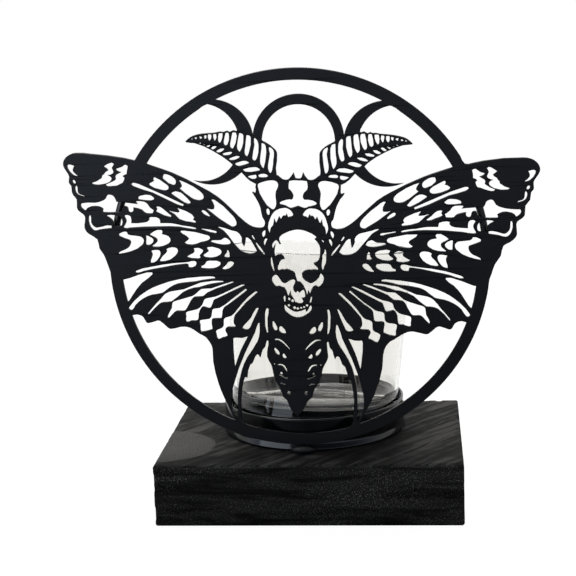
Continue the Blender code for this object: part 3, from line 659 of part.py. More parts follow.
def make_block(material):
    """A sawn block with eased edges and a pilot hole for the tray's screw."""
    bm = bmesh.new()
    bmesh.ops.create_cube(bm, size=1.0)
    bmesh.ops.scale(bm, verts=bm.verts, vec=(BLOCK_WIDTH, BLOCK_DEPTH, BLOCK_HEIGHT))
    bmesh.ops.translate(bm, verts=bm.verts, vec=(0, 0, BLOCK_HEIGHT / 2))
    upper = [edge for edge in bm.edges if edge.verts[0].co.z > 0 or edge.verts[1].co.z > 0]
    bmesh.ops.bevel(bm, geom=upper, offset=BLOCK_EASE, offset_type="OFFSET", affect="EDGES",
                    segments=3, profile=0.5, material=-1)
    block = add_piece("base_block", mesh_from(bm, "base_block"), material)
    bm = bmesh.new()
    depth = SCREW_LENGTH + 2 * GAP
    bmesh.ops.create_cone(bm, cap_ends=True, segments=SCREW_STEPS, radius1=SCREW_SHANK_RADIUS + GAP,
                          radius2=SCREW_SHANK_RADIUS + GAP, depth=2 * depth)
    pilot = add_piece("pilot_cutter", mesh_from(bm, "pilot_cutter"), material)
    pilot.location = (TRAY_CENTRE.x, TRAY_CENTRE.y, BLOCK_HEIGHT)
    cut_with(block, pilot)


def make_tray(material):
    """A shallow spun tray whose foot flares out a little, with a hole for its screw."""
    hole = SCREW_SHANK_RADIUS + GAP
    profile = [(hole, TRAY_SHEET), (hole, 0.0)]
    profile += arc(TRAY_RADIUS + TRAY_FOOT_FLARE - TRAY_FOOT_EDGE, TRAY_FOOT_EDGE, TRAY_FOOT_EDGE, -90, 0, 3)
    profile.append((TRAY_RADIUS, TRAY_FOOT_HEIGHT))
    profile += arc(TRAY_RADIUS - TRAY_SHEET / 2, TRAY_HEIGHT - TRAY_SHEET / 2, TRAY_SHEET / 2, 0, 180, 4)
    profile += arc(TRAY_RADIUS - TRAY_SHEET - TRAY_INNER_ROUND, TRAY_SHEET + TRAY_INNER_ROUND,
                   TRAY_INNER_ROUND, 0, -90, 4)
    tray = add_piece("holder_tray", turned_mesh("holder_tray", profile, TRAY_STEPS), material)
    tray.location = TRAY_CENTRE


def make_screw(material):
    """A pan head wood screw with a cross slot."""
    under = TRAY_SHEET + GAP
    top = TRAY_SHEET + SCREW_HEAD_HEIGHT
    profile = [(0.0, top)]
    for step in range(1, 5):
        turn = step / 4 * math.pi / 2
        drop = SCREW_HEAD_DOME * (1 - math.cos(turn))
        profile.append((SCREW_HEAD_RADIUS * math.sin(turn), top - drop))
    profile += [(SCREW_HEAD_RADIUS, under), (SCREW_SHANK_RADIUS, under),
                (SCREW_SHANK_RADIUS, SCREW_TIP_LENGTH - SCREW_LENGTH), (0.0, -SCREW_LENGTH)]
    bm = bmesh.new()
    line = [bm.verts.new((radius, 0.0, height)) for radius, height in profile]
    edges = [bm.edges.new(pair) for pair in zip(line, line[1:])]
    bmesh.ops.spin(bm, geom=line + edges, cent=(0, 0, 0), axis=(0, 0, 1), angle=math.tau,
                   steps=SCREW_STEPS, use_merge=True)
    bmesh.ops.remove_doubles(bm, verts=bm.verts, dist=WELD_DISTANCE)
    screw = add_piece("tray_screw", mesh_from(bm, "tray_screw"), material)
    screw.location = TRAY_CENTRE
    for name, turn in (("slot_cutter_a", 0.0), ("slot_cutter_b", math.pi / 2)):
        bm = bmesh.new()
        bmesh.ops.create_cube(bm, size=1.0)
        bmesh.ops.scale(bm, verts=bm.verts,
                        vec=(SCREW_SLOT_LENGTH, SCREW_SLOT_WIDTH, 2 * SCREW_SLOT_DEPTH))
        slot = add_piece(name, mesh_from(bm, name), material)
        slot.location = (TRAY_CENTRE.x, TRAY_CENTRE.y, TRAY_CENTRE.z + top)
        slot.rotation_euler = (0, 0, turn)
        cut_with(screw, slot)


def make_bead(material):
    """A lump of weld below the ring, between it, the tray and the block."""
    front = PANEL_FRONT_Y - BEAD_PROUD
    back = TRAY_CENTRE.y - TRAY_RADIUS - TRAY_FOOT_FLARE - GAP
    low = BLOCK_HEIGHT + GAP
    high = BLOCK_HEIGHT + RING_RISE - GAP
    bm = bmesh.new()
    bmesh.ops.create_uvsphere(bm, u_segments=20, v_segments=12, radius=0.5)
    bmesh.ops.scale(bm, verts=bm.verts, vec=(BEAD_WIDTH, back - front, high - low))
    bead = add_piece("weld_bead", mesh_from(bm, "weld_bead"), material)
    bead.location = (RING_CENTRE.x, (front + back) / 2, (low + high) / 2)


def glass_profile():
    """Half section of the cup, from the middle of its base round the rim and back."""
    outside = [(0.0, 0.0), (GLASS_FOOT_RADIUS - GLASS_EDGE, 0.0)]
    outside += arc(GLASS_FOOT_RADIUS - GLASS_EDGE, GLASS_EDGE, GLASS_EDGE, -60, 0, 3)
    for step in range(4):
        rise = step / 3
        ease = 0.5 - 0.5 * math.cos(math.pi * rise)
        outside.append((GLASS_FOOT_RADIUS - GLASS_WAIST_TUCK * ease,
                        GLASS_FOOT_HEIGHT + (GLASS_WAIST_HEIGHT - GLASS_FOOT_HEIGHT) * rise))
    half_wall = GLASS_WALL / 2
    rim = arc(GLASS_RIM_RADIUS - half_wall, GLASS_HEIGHT - half_wall, half_wall, 0, 180, 4)
    floor_radius = GLASS_WAIST_RADIUS - GLASS_WALL - GLASS_INNER_ROUND
    inside = arc(floor_radius, GLASS_BASE + GLASS_INNER_ROUND, GLASS_INNER_ROUND, 0, -90, 5)
    return outside + rim + inside + [(0.0, GLASS_BASE)]


def make_glass(material):
    """A tapered cup that leans back and a little to the right, and has slid to the right in its tray."""
    bm = bmesh.new()
    line = [bm.verts.new((radius, 0.0, height)) for radius, height in glass_profile()]
    edges = [bm.edges.new(pair) for pair in zip(line, line[1:])]
    bmesh.ops.spin(bm, geom=line + edges, cent=(0, 0, 0), axis=(0, 0, 1), angle=math.tau,
                   steps=GLASS_STEPS, use_merge=True)
    bmesh.ops.remove_doubles(bm, verts=bm.verts, dist=WELD_DISTANCE)
    cup = add_piece("glass_cup", mesh_from(bm, "glass_cup"), material)
    heading = Vector((math.sin(GLASS_LEAN_HEADING), math.cos(GLASS_LEAN_HEADING), 0))
    axis = Vector((0, 0, 1)).cross(heading)
    cup.rotation_mode = "QUATERNION"
    cup.rotation_quaternion = Matrix.Rotation(GLASS_LEAN, 4, axis).to_quaternion()
    rise = SCREW_HEAD_HEIGHT + GAP + DOME_LIFT
    cup.location = (TRAY_CENTRE.x + TRAY_PLAY / 2, TRAY_CENTRE.y, TRAY_FLOOR_Z + rise)


def main():
    clear_scene()
    black_steel = finish_material("black_steel", (0.012, 0.013, 0.015), 0.42, 0.0)
    stained_wood = finish_material("stained_wood", (0.030, 0.027, 0.025), 0.62, 0.0)
    clear_glass = finish_material("clear_glass", (0.97, 0.98, 0.97), 0.02, 0.0, 1.0)
    screw_steel = finish_material("screw_steel", (0.05, 0.05, 0.05), 0.35, 1.0)
    make_block(stained_wood)
    make_tray(black_steel)
    make_screw(screw_steel)
    make_bead(black_steel)
    make_panel(black_steel)
    make_brace("wing_brace_left", -1, black_steel)
    make_brace("wing_brace_right", 1, black_steel)
    make_glass(clear_glass)


main()
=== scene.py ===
# %% [markdown]
# Dressing a candle holder
#
# The holder is a flat black steel ring with a pierced moth, in front of a clear glass cup that
# sits in a spun steel tray on a block of stained pine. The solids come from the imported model, which
# stays fixed. This notebook gives each of them its fine surface and its finish, lights them and
# sets up the camera. It is a lesson: each step first says what the piece is and why it is made so.

# %% Load the fixed frame
import json
import math

import bmesh
import bpy
from mathutils import Matrix, Vector, noise


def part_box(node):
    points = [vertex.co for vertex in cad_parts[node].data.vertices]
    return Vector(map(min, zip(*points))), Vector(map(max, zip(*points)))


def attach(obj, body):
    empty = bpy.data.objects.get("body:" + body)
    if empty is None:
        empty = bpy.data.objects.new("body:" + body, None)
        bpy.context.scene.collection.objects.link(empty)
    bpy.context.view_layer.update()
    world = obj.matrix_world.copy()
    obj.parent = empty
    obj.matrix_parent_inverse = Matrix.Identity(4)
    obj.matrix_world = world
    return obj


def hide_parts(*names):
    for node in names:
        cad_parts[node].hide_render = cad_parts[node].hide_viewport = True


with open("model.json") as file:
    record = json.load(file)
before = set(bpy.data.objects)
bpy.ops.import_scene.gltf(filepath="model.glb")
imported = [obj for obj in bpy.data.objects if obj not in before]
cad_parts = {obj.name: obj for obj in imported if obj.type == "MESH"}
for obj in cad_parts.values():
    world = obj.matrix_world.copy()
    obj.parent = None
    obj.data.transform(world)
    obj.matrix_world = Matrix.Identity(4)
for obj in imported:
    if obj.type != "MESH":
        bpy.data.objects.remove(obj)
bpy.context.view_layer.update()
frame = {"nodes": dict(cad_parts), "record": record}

MM = 0.001
print("pieces in the frame:", sorted(frame["nodes"]))

# %% [markdown]
# Small helpers for meshes
#
# Every piece ends the same way: its bmesh becomes an object at the origin, its faces point outwards,
# soft edges are shaded smooth, and it rides on the holder's only body. One helper does that, so that
# the later cells only model. Merging doubled points comes first, because normals can't be worked out
# across a seam.

# %% Finish a piece
MERGE = 0.002 * MM


def finished(bm, name, material, solid, sharp_angle=40.0):
    """Turn a bmesh into a smooth shaded piece that stands for a solid of the frame."""
    bmesh.ops.remove_doubles(bm, verts=bm.verts, dist=MERGE)
    bmesh.ops.recalc_face_normals(bm, faces=bm.faces)
    mesh = bpy.data.meshes.new(name)
    bm.to_mesh(mesh)
    open_edges = sum(not edge.is_manifold for edge in bm.edges)
    bm.free()
    mesh.shade_smooth()
    mesh.set_sharp_from_angle(angle=math.radians(sharp_angle))
    mesh.materials.append(material)
    piece = bpy.data.objects.new(name, mesh)
    bpy.context.collection.objects.link(piece)
    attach(piece, "root")
    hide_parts(solid)
    print(f"{name}: {len(mesh.polygons)} faces, {open_edges} open edges")


# %% [markdown]
# Shader maths as plain Python
#
# A painted or stained surface is mostly sums and products of a few noises. Blender writes those as
# Math nodes. This small class wraps a node's socket and adds the node when two values are
# combined, so a finish reads as the formula it is.

# %% Wrap a socket
class Value:
    """A number or colour that changes over the surface."""

    def __init__(self, finish, socket):
        self.finish = finish
        self.socket = socket

    def math(self, operation, *others, swap=False):
        """Combine this value with others in one Math node."""
        values = [self, *others]
        if swap:
            values.reverse()
        return self.finish.node("ShaderNodeMath", {"operation": operation}, dict(enumerate(values)))

    def __add__(self, other):
        return self.math("ADD", other)

    __radd__ = __add__

    def __sub__(self, other):
        return self.math("SUBTRACT", other)

    def __rsub__(self, other):
        return self.math("SUBTRACT", other, swap=True)

    def __mul__(self, other):
        return self.math("MULTIPLY", other)

    def step(self, low, high):
        """0 below low and 1 above high, with a smooth ramp between."""
        return self.finish.node("ShaderNodeMapRange", {"interpolation_type": "SMOOTHSTEP"},
                                {"Value": self, "From Min": low, "From Max": high})


# %% [markdown]
# Building a finish
#
# Every finish here is one Principled shader and the nodes that vary it over the surface. One method
# makes any node from its type, its settings and its sockets, and the short ones after it name the
# kinds that come up often. Colours go through Mix nodes, because a Math node would turn them grey.

# %% Build a finish
class Finish:
    """One material: a Principled shader, and the nodes that vary it over the surface."""

    def __init__(self, name, **constants):
        self.material = bpy.data.materials.new(name)
        self.material.use_nodes = True
        self.tree = self.material.node_tree
        self.shader = self.tree.nodes["Principled BSDF"]
        for socket, value in constants.items():
            self.shader.inputs[socket.replace("_", " ")].default_value = value

    def node(self, kind, settings=None, sockets=None, output=0):
        """Add a node: its settings first, then the values or links of its sockets."""
        made = self.tree.nodes.new(kind)
        for key, value in (settings or {}).items():
            setattr(made, key, value)
        for key, value in (sockets or {}).items():
            self.join(made.inputs[key], value)
        return Value(self, made.outputs[output])

    def join(self, socket, value):
        """Link a value to a socket, or set the socket to a plain number or colour."""
        if isinstance(value, Value):
            self.tree.links.new(value.socket, socket)
        else:
            socket.default_value = value

    def feed(self, **sockets):
        """Send values into the shader's sockets."""
        for socket, value in sockets.items():
            self.join(self.shader.inputs[socket.replace("_", " ")], value)

    def place(self, stretch=(1, 1, 1), turn=0.0, shift=(0, 0, 0)):
        """Object coordinates for a pattern that is stretched along its axes and turned about Z."""
        spot = self.node("ShaderNodeTexCoord", output="Object")
        return self.node("ShaderNodeMapping", {"vector_type": "TEXTURE"},
                         {"Vector": spot, "Location": shift, "Rotation": (0, 0, turn),
                          "Scale": stretch})

    def axes(self, output="Object"):
        """The three object coordinates as values, or those of another output."""
        spot = self.node("ShaderNodeTexCoord", output=output)
        split = self.node("ShaderNodeSeparateXYZ", {}, {0: spot}).socket.node
        return [Value(self, part) for part in split.outputs]

    def ray(self, kind):
        """1 where the ray that arrives is of this kind, else 0."""
        rays = self.node("ShaderNodeLightPath").socket.node.outputs
        return Value(self, rays[kind])

    def seen(self):
        """1 for what the camera sees directly or through glass, else 0."""
        return self.ray("Is Camera Ray").math("MAXIMUM", self.ray("Is Transmission Ray"))

    def noise(self, place, scale, detail=3.0, roughness=0.55, distortion=0.0):
        """A smooth noise between 0 and 1."""
        return self.node("ShaderNodeTexNoise", {},
                         {"Vector": place, "Scale": scale, "Detail": detail,
                          "Roughness": roughness, "Distortion": distortion})

    def mix(self, factor, first, second):
        """A colour between two others: sockets 6 and 7 of a Mix node are its colours."""
        return self.node("ShaderNodeMix", {"data_type": "RGBA"},
                         {0: factor, 6: first, 7: second}, output=2)

    def bump(self, height, distance, strength=1.0):
        """A normal bent by a height, which is a share of the distance."""
        return self.node("ShaderNodeBump", {},
                         {"Height": height, "Distance": distance, "Strength": strength})


def grey(level, warmth=0.0):
    """A near neutral colour: positive warmth is towards red, negative towards blue."""
    return (level * (1 + warmth), level, level * (1 - warmth), 1.0)


# %% [markdown]
# The black powder coat
#
# The steel is powder coated: sprayed with dry paint that melts in an oven into a thin, slightly
# rippled skin. It is not a pure black, and it shows mostly through what it reflects, so its
# roughness varies a little and a fine ripple bends the light. The coat is a dielectric over the
# steel, so its metallic value is zero. The smooth spun tray takes the glossiest coat, the cut sheet
# and the bars a satin one, and the lump of weld a rough one.

# %% Powder coat
def powder_coat(name, seed, roughness):
    """A black coat. The seed moves its pattern, so that no two coats are the same."""
    coat = Finish(name, Metallic=0.0, IOR=1.48)
    spot = coat.place(shift=(seed, seed, seed))
    cloud = coat.noise(spot, 38.0, 2.0)
    ripple = coat.noise(spot, 1100.0, 2.0)
    dust = coat.noise(spot, 2600.0, 1.0).step(0.70, 0.82)
    colour = coat.mix(cloud, grey(0.0020, -0.10), grey(0.0045, -0.14))
    coat.feed(Base_Color=coat.mix(dust * 0.25, colour, grey(0.030)),
              Roughness=roughness + cloud * 0.08 + ripple * 0.04,
              Normal=coat.bump(ripple, 0.02 * MM, 0.5))
    return coat.material


sheet_coat = powder_coat("sheet_coat", 0.0, 0.24)
tray_coat = powder_coat("tray_coat", 0.4, 0.06)
bar_coat = powder_coat("bar_coat", 0.8, 0.20)
weld_coat = powder_coat("weld_coat", 1.2, 0.50)
print("coats:", sheet_coat.name, tray_coat.name, bar_coat.name, weld_coat.name)

# %% [markdown]
# The moth panel
#
# The ring and the moth are one sheet of steel, cut by laser. The frame's solid has the outline as
# short straight chords. The cut could be drawn again by hand, but the solid already holds it, so its
# front outline is read as loops and laid into a flat Bezier curve. Automatic handles run smoothly
# through each point, and a point where the outline turns sharply keeps a straight handle, as a
# laser leaves a corner. A flat curve fills itself, holes included, and gets the sheet's thickness by
# extrusion. It is drawn in millimetres, because filling works with fixed tolerances, and it is made a
# mesh before it is scaled and stood up.

# %% Read the loops of the front face
CORNER = math.radians(66.0)
FACING = 0.9
SIDEWAYS = 0.1


def front_loops(node):
    """The closed outlines of a flat node's front face."""
    bm = bmesh.new()
    bm.from_mesh(frame["nodes"][node].data)
    bmesh.ops.remove_doubles(bm, verts=bm.verts, dist=MERGE)
    bm.normal_update()
    others = [face for face in bm.faces if face.normal.y > -FACING]
    bmesh.ops.delete(bm, geom=others, context="FACES")
    waiting = {edge for edge in bm.edges if edge.is_boundary}
    loops = []
    while waiting:
        edge = waiting.pop()
        start, vert = edge.verts
        loop = [start.co.copy()]
        while vert is not start:
            loop.append(vert.co.copy())
            edge = next(other for other in vert.link_edges if other in waiting)
            waiting.discard(edge)
            vert = edge.other_vert(vert)
        loops.append(loop)
    bm.free()
    return loops


panel_loops = front_loops("moth_panel")
print(len(panel_loops), "outlines,", sum(map(len, panel_loops)), "points")

# %% Lay the loops into a flat curve
sheet_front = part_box("moth_panel")[0].y
sheet_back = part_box("moth_panel")[1].y
sheet = sheet_back - sheet_front


def flat_sheet(loops, name):
    """A mesh of a sheet cut along the loops, standing in the XZ plane."""
    outline = bpy.data.curves.new(name, "CURVE")
    outline.dimensions = "2D"
    outline.fill_mode = "BOTH"
    outline.extrude = sheet / 2 / MM
    outline.resolution_u = 2
    for loop in loops:
        spline = outline.splines.new("BEZIER")
        spline.bezier_points.add(len(loop) - 1)
        spline.use_cyclic_u = True
        for i, point in enumerate(spline.bezier_points):
            before, here, after = (loop[j % len(loop)] for j in (i - 1, i, i + 1))
            point.co = (here.x / MM, here.z / MM, 0)
            turn = (here - before).angle(after - here, 0.0)
            kind = "VECTOR" if turn > CORNER else "AUTO"
            point.handle_left_type = kind
            point.handle_right_type = kind
    drawn = bpy.data.objects.new(name, outline)
    bpy.context.collection.objects.link(drawn)
    bpy.context.view_layer.update()
    depsgraph = bpy.context.evaluated_depsgraph_get()
    filled = bpy.data.meshes.new_from_object(drawn.evaluated_get(depsgraph))
    bm = bmesh.new()
    bm.from_mesh(filled)
    bpy.data.objects.remove(drawn)
    upright = Matrix.Translation((0, (sheet_front + sheet_back) / 2, 0))
    upright @= Matrix.Rotation(math.pi / 2, 4, "X") @ Matrix.Scale(MM, 4)
    bmesh.ops.transform(bm, matrix=upright, verts=bm.verts)
    bmesh.ops.remove_doubles(bm, verts=bm.verts, dist=MERGE)
    bmesh.ops.recalc_face_normals(bm, faces=bm.faces)
    return bm


panel_bm = flat_sheet(panel_loops, "moth_outline")
print("sheet:", len(panel_bm.faces), "faces")

# %% [markdown]
# Eased edges
#
# Paint pulls back from a sharp edge and leaves it rounded, which is why the cut edges of the real
# moth catch a thin soft line of light. A bevel would need room that the finest teeth don't have, so
# each face of the sheet is inset by the same small width everywhere, and the rim that this leaves
# is sunk to a slope.

# %% Ease both faces of the sheet
EDGE_EASE = 0.22 * MM


def ease_sheet(bm, facing):
    """Slope the rim of the sheet's face that looks along facing times Y."""
    bm.normal_update()
    flat = [face for face in bm.faces if face.normal.y * facing > FACING]
    rim_faces = bmesh.ops.inset_region(bm, faces=flat, thickness=EDGE_EASE, use_boundary=True,
                                       use_even_offset=False)["faces"]
    wall = {face for face in bm.faces if abs(face.normal.y) < SIDEWAYS}
    rim = {vert for face in rim_faces for vert in face.verts
           if any(other in wall for other in vert.link_faces)}
    bmesh.ops.translate(bm, verts=list(rim), vec=(0, -facing * EDGE_EASE, 0))


for facing in (-1, 1):
    ease_sheet(panel_bm, facing)
finished(panel_bm, "moth_sheet", sheet_coat, "moth_panel", sharp_angle=30.0)

# %% [markdown]
# Turned pieces
#
# The tray is spun and the cup is pressed in a round mould, so both are a section turned about an
# axis. Each corner of the section says how wide its round is. The section is spun with sharp
# corners first, and the rings of edges at those corners are then bevelled. Beside each round goes
# one more ring: smooth shading blends the normals across a face, and without that ring a long flat
# wall would be shaded, and would bend light, as if it were curved.

# %% Hold the flats beside a round
HOLD = 0.3 * MM
RIM_SHARE = 0.45  # of a wall's thickness, for the round on each side of its rim


def hold(corner, neighbour, width):
    """A point beside a corner, just clear of its round. The list is empty where there is no room."""
    way = neighbour - corner
    reach = width + HOLD
    return [corner + way.normalized() * reach] if way.length > 2 * reach else []


def with_holds(section):
    """The points of a section of (radius, height, round) corners, with those that hold its flats.

    A corner with a round of 0 stays sharp and still gets them, and one with None gets none.
    """
    closed = section[0][0] > 0
    corners = [Vector(corner[:2]) for corner in section]
    points = []
    for i, (_, _, width) in enumerate(section):
        before, after = [], []
        if width is not None and (closed or i > 0):
            before = hold(corners[i], corners[i - 1], width)
        if width is not None and (closed or i + 1 < len(section)):
            after = hold(corners[i], corners[(i + 1) % len(section)], width)
        points += [*before, corners[i], *after]
    return points


# %% Spin a section, and round its corners
SAME_RING = 0.02 * MM
FINE_SEGMENTS = 3
WIDE_SEGMENTS = 8


def round_ring(bm, radius, height, width):
    """Bevel the ring of edges at one corner of the section."""
    ring = [edge for edge in bm.edges
            if all(abs(math.hypot(vert.co.x, vert.co.y) - radius) < SAME_RING
                   and abs(vert.co.z - height) < SAME_RING for vert in edge.verts)]
    bmesh.ops.bevel(bm, geom=ring, offset=width, offset_type="OFFSET", affect="EDGES",
                    segments=FINE_SEGMENTS if width < MM else WIDE_SEGMENTS, profile=0.5,
                    material=-1)


def spun(section, steps):
    """Turn a section about Z and round its corners. A closed section starts off the axis."""
    bm = bmesh.new()
    line = [bm.verts.new((point.x, 0, point.y)) for point in with_holds(section)]
    edges = [bm.edges.new(pair) for pair in zip(line, line[1:])]
    if section[0][0] > 0:
        edges.append(bm.edges.new((line[-1], line[0])))
    bmesh.ops.spin(bm, geom=line + edges, cent=(0, 0, 0), axis=(0, 0, 1), angle=math.tau,
                   steps=steps, use_merge=True)
    bmesh.ops.remove_doubles(bm, verts=bm.verts, dist=MERGE)
    for radius, height, width in section:
        if width:
            round_ring(bm, radius, height, width)
    return bm


# %% [markdown]
# The spun tray
#
# The tray is a shallow dish with a hole for its screw. Its wall stands upright on a foot that flares
# out a little, and the slope of that foot is what catches the lamp as one bright curve. The outer
# sizes come from the solid, and the sheet and its rounds are set here.

# %% Spin the tray
TRAY_SHEET = 1.2 * MM
TRAY_INNER_ROUND = 1.4 * MM
TRAY_FOOT_FLARE = 0.6 * MM
TRAY_FOOT_LIP = 0.5 * MM
TRAY_FOOT_HEIGHT = 3.2 * MM
TRAY_UNDER_ROUND = 0.3 * MM
TRAY_LIP_ROUND = 0.15 * MM
TRAY_FOOT_ROUND = 0.5 * MM
TRAY_STEPS = 144
SCREW_HOLE = 2.5 * MM

tray_low, tray_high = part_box("holder_tray")
foot_radius = (tray_high.x - tray_low.x) / 2
tray_radius = foot_radius - TRAY_FOOT_FLARE
inner_radius = tray_radius - TRAY_SHEET
tray_height = tray_high.z - tray_low.z
tray_rim_round = RIM_SHARE * TRAY_SHEET
tray_bm = spun([(SCREW_HOLE, TRAY_SHEET, None),
                (SCREW_HOLE, 0, None),
                (foot_radius, 0, TRAY_UNDER_ROUND),
                (foot_radius, TRAY_FOOT_LIP, TRAY_LIP_ROUND),
                (tray_radius, TRAY_FOOT_HEIGHT, TRAY_FOOT_ROUND),
                (tray_radius, tray_height, tray_rim_round),
                (inner_radius, tray_height, tray_rim_round),
                (inner_radius, TRAY_SHEET, TRAY_INNER_ROUND)], TRAY_STEPS)
tray_middle = (tray_low + tray_high) / 2
bmesh.ops.translate(tray_bm, verts=tray_bm.verts, vec=(tray_middle.x, tray_middle.y, tray_low.z))
finished(tray_bm, "spun_tray", tray_coat, "holder_tray")

# %% [markdown]
# The glass cup
#
# The cup is thick pressed glass: a heavy base, a small foot, and a wall that widens to the rim. What
# makes glass look like glass is its solid inside, so the cup is one closed skin with an inner and an
# outer wall. The tint is a little yellow, and a slow wave bends the light as in pressed glass.

# %% Clear glass
glass = Finish("clear_glass", Transmission_Weight=1.0, IOR=1.45, Roughness=0.0)
wave = glass.noise(glass.place(stretch=(1, 1, 3)), 55.0, 1.0)
glass.feed(Base_Color=glass.mix(wave, (0.880, 0.875, 0.848, 1), (0.895, 0.890, 0.865, 1)),
           Normal=glass.bump(wave, 0.02 * MM, 0.5))
print("glass:", glass.material.name)

# %% [markdown]
# The cup's section
#
# The section runs from the middle of the underside out to the foot, up the outer wall, over the rim
# and back down inside. Above the foot a cosine eases the wall in to a low waist, and from there it
# widens in a straight line.

# %% Draw the cup's section
GLASS_BASE = 5.5 * MM
GLASS_HEIGHT = 75.2 * MM
GLASS_WALL = 2.0 * MM
GLASS_FOOT_RADIUS = 38.4 * MM
GLASS_WAIST_RADIUS = 37.4 * MM
GLASS_RIM_RADIUS = 42.2 * MM
GLASS_FOOT_HEIGHT = 3.0 * MM
GLASS_WAIST_HEIGHT = 12.0 * MM
GLASS_FOOT_EDGE = 2.0 * MM
GLASS_INNER_ROUND = 7.2 * MM
GLASS_STEPS = 160
WAIST_STEPS = 6

glass_section = [(0, 0, None), (GLASS_FOOT_RADIUS, 0, GLASS_FOOT_EDGE),
                 (GLASS_FOOT_RADIUS, GLASS_FOOT_HEIGHT, None)]
for step in range(1, WAIST_STEPS + 1):
    rise = step / WAIST_STEPS
    ease = 0.5 - 0.5 * math.cos(math.pi * rise)
    glass_section.append((GLASS_FOOT_RADIUS + (GLASS_WAIST_RADIUS - GLASS_FOOT_RADIUS) * ease,
                          GLASS_FOOT_HEIGHT + (GLASS_WAIST_HEIGHT - GLASS_FOOT_HEIGHT) * rise,
                          0.0 if step == WAIST_STEPS else None))
glass_rim_round = RIM_SHARE * GLASS_WALL
glass_section += [(GLASS_RIM_RADIUS, GLASS_HEIGHT, glass_rim_round),
                  (GLASS_RIM_RADIUS - GLASS_WALL, GLASS_HEIGHT, glass_rim_round),
                  (GLASS_WAIST_RADIUS - GLASS_WALL, GLASS_BASE, GLASS_INNER_ROUND),
                  (0, GLASS_BASE, None)]
print("section of the cup:", len(glass_section), "corners")

# %% [markdown]
# Leaning the cup
#
# The cup leans a little, because here its base rides on the tray's screw. The frame's record states
# the seat of the candle inside it, and its place and direction give that lean.

# %% Spin the cup and lean it
seat = next(mount for mount in frame["record"]["mounts"] if mount["name"] == "candle_seat")
lean = Vector(seat["axis"])
under_cup = Vector(seat["pos_m"]) - lean * GLASS_BASE
upright_to_lean = Vector((0, 0, 1)).rotation_difference(lean).to_matrix().to_4x4()
glass_bm = spun(glass_section, GLASS_STEPS)
bmesh.ops.transform(glass_bm, matrix=Matrix.Translation(under_cup) @ upright_to_lean,
                    verts=glass_bm.verts)
finished(glass_bm, "pressed_glass", glass.material, "glass_cup")
print("the cup leans", round(math.degrees(lean.angle((0, 0, 1))), 1), "degrees")

# %% [markdown]
# The wooden block
#
# The block is sawn pine under a thin black stain. A picture of a board would end at its own edges, so
# the colour is worked out at each point from a few noises and runs through the block instead. The
# saw went over the top at an angle and left strokes a few millimetres apart, with fine hairs between
# them, and in places the stain soaked in deeper and hides both.

# %% The sawn top
SAW_TURN = math.radians(-38)
wood = Finish("stained_pine", Metallic=0.0, IOR=1.45, Specular_IOR_Level=0.06)
block_low, block_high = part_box("base_block")
wood_across, wood_depth, wood_height = wood.axes()
sawn = wood.place(stretch=(1, 14, 1), turn=SAW_TURN)
stroke = wood.noise(sawn, 330.0, 2.0, 0.6, 0.5)
hair = wood.noise(sawn, 1500.0, 2.0, 0.6)
soak = wood.noise(wood.place(stretch=(1.6, 1, 1)), 38.0, 3.0, 0.6)
speck = wood.noise(wood.place(), 1700.0, 2.0, 0.7)
top_tone = wood.mix(stroke.step(0.42, 0.60), grey(0.010, 0.02), grey(0.052, 0.03))
top_tone = wood.mix(hair.step(0.50, 0.68) * 0.5, top_tone, grey(0.085, 0.03))
top_tone = wood.mix(soak.step(0.42, 0.60) * 0.70, top_tone, grey(0.006, 0.02))
print("saw strokes turned by", round(math.degrees(SAW_TURN)), "degrees")

# %% [markdown]
# The pale mark
#
# At the left of the top is a paler patch with a round, slightly ragged edge. Two squared distances
# make a disc, and a slow noise is added before its edge is cut.

# %% Where the top is paler
MARK = Vector((-66.0, -22.0)) * MM
MARK_RADIUS = 23.5 * MM
aside = (wood_across - MARK.x) * (1 / MARK_RADIUS)
behind = (wood_depth - MARK.y) * (1 / MARK_RADIUS)
ragged = soak * 0.5 - 0.25
marked = 1 - (aside * aside + behind * behind + ragged).step(0.93, 1.05)
mark_tone = wood.mix(speck.step(0.42, 0.60), grey(0.040, 0.02), grey(0.105, 0.03))
top_tone = wood.mix(marked * 0.85, top_tone, mark_tone)
print("pale mark:", round(2 * MARK_RADIUS / MM), "mm across")

# %% [markdown]
# The sawn sides
#
# The sides show the ends of broken fibres as fine specks in level bands. Their brightness is partly
# the fibres and partly painted glints. Just below the top edge, a lighter band in places is a painted
# highlight of the edge. The height alone tells the top from the sides, so the same finish serves the
# whole block.

# %% The sides, and the whole finish
def near_top(start, full):
    """A ramp from 0 to 1 between two heights, both measured down from the top face."""
    return wood_height.step(block_high.z - start, block_high.z - full)


band = wood.noise(wood.place(stretch=(9, 1, 1)), 190.0, 3.0, 0.6, 0.8)
side_tone = wood.mix(band.step(0.38, 0.62), grey(0.004, 0.04), grey(0.014, 0.05))
# Bright specks on the sides: fibre ends, lightened as painted glints.
speck_glint_share = 0.08 + band.step(0.42, 0.62) * 0.42 + soak.step(0.42, 0.62) * 0.32
side_tone = wood.mix(speck.step(0.53, 0.66) * speck_glint_share, side_tone, grey(0.130, 0.03))
# A painted highlight: a lighter band just below the top edge, in places.
painted_edge_highlight = near_top(1.4 * MM, 0.6 * MM) * band.step(0.45, 0.60)
side_tone = wood.mix(painted_edge_highlight * 0.6, side_tone, grey(0.060, 0.02))
wood.feed(Base_Color=wood.mix(near_top(0.9 * MM, 0.25 * MM), side_tone, top_tone),
          Roughness=0.62 + hair * 0.22,
          Normal=wood.bump(hair * 0.4 + speck * 0.6, 0.20 * MM, 0.9))
print("wood:", wood.material.name)

# %% [markdown]
# The block's shape
#
# The block starts as a cube of the solid's size. Its edges are bevelled, and its long edges are cut
# into short ones, so that there are points to move.

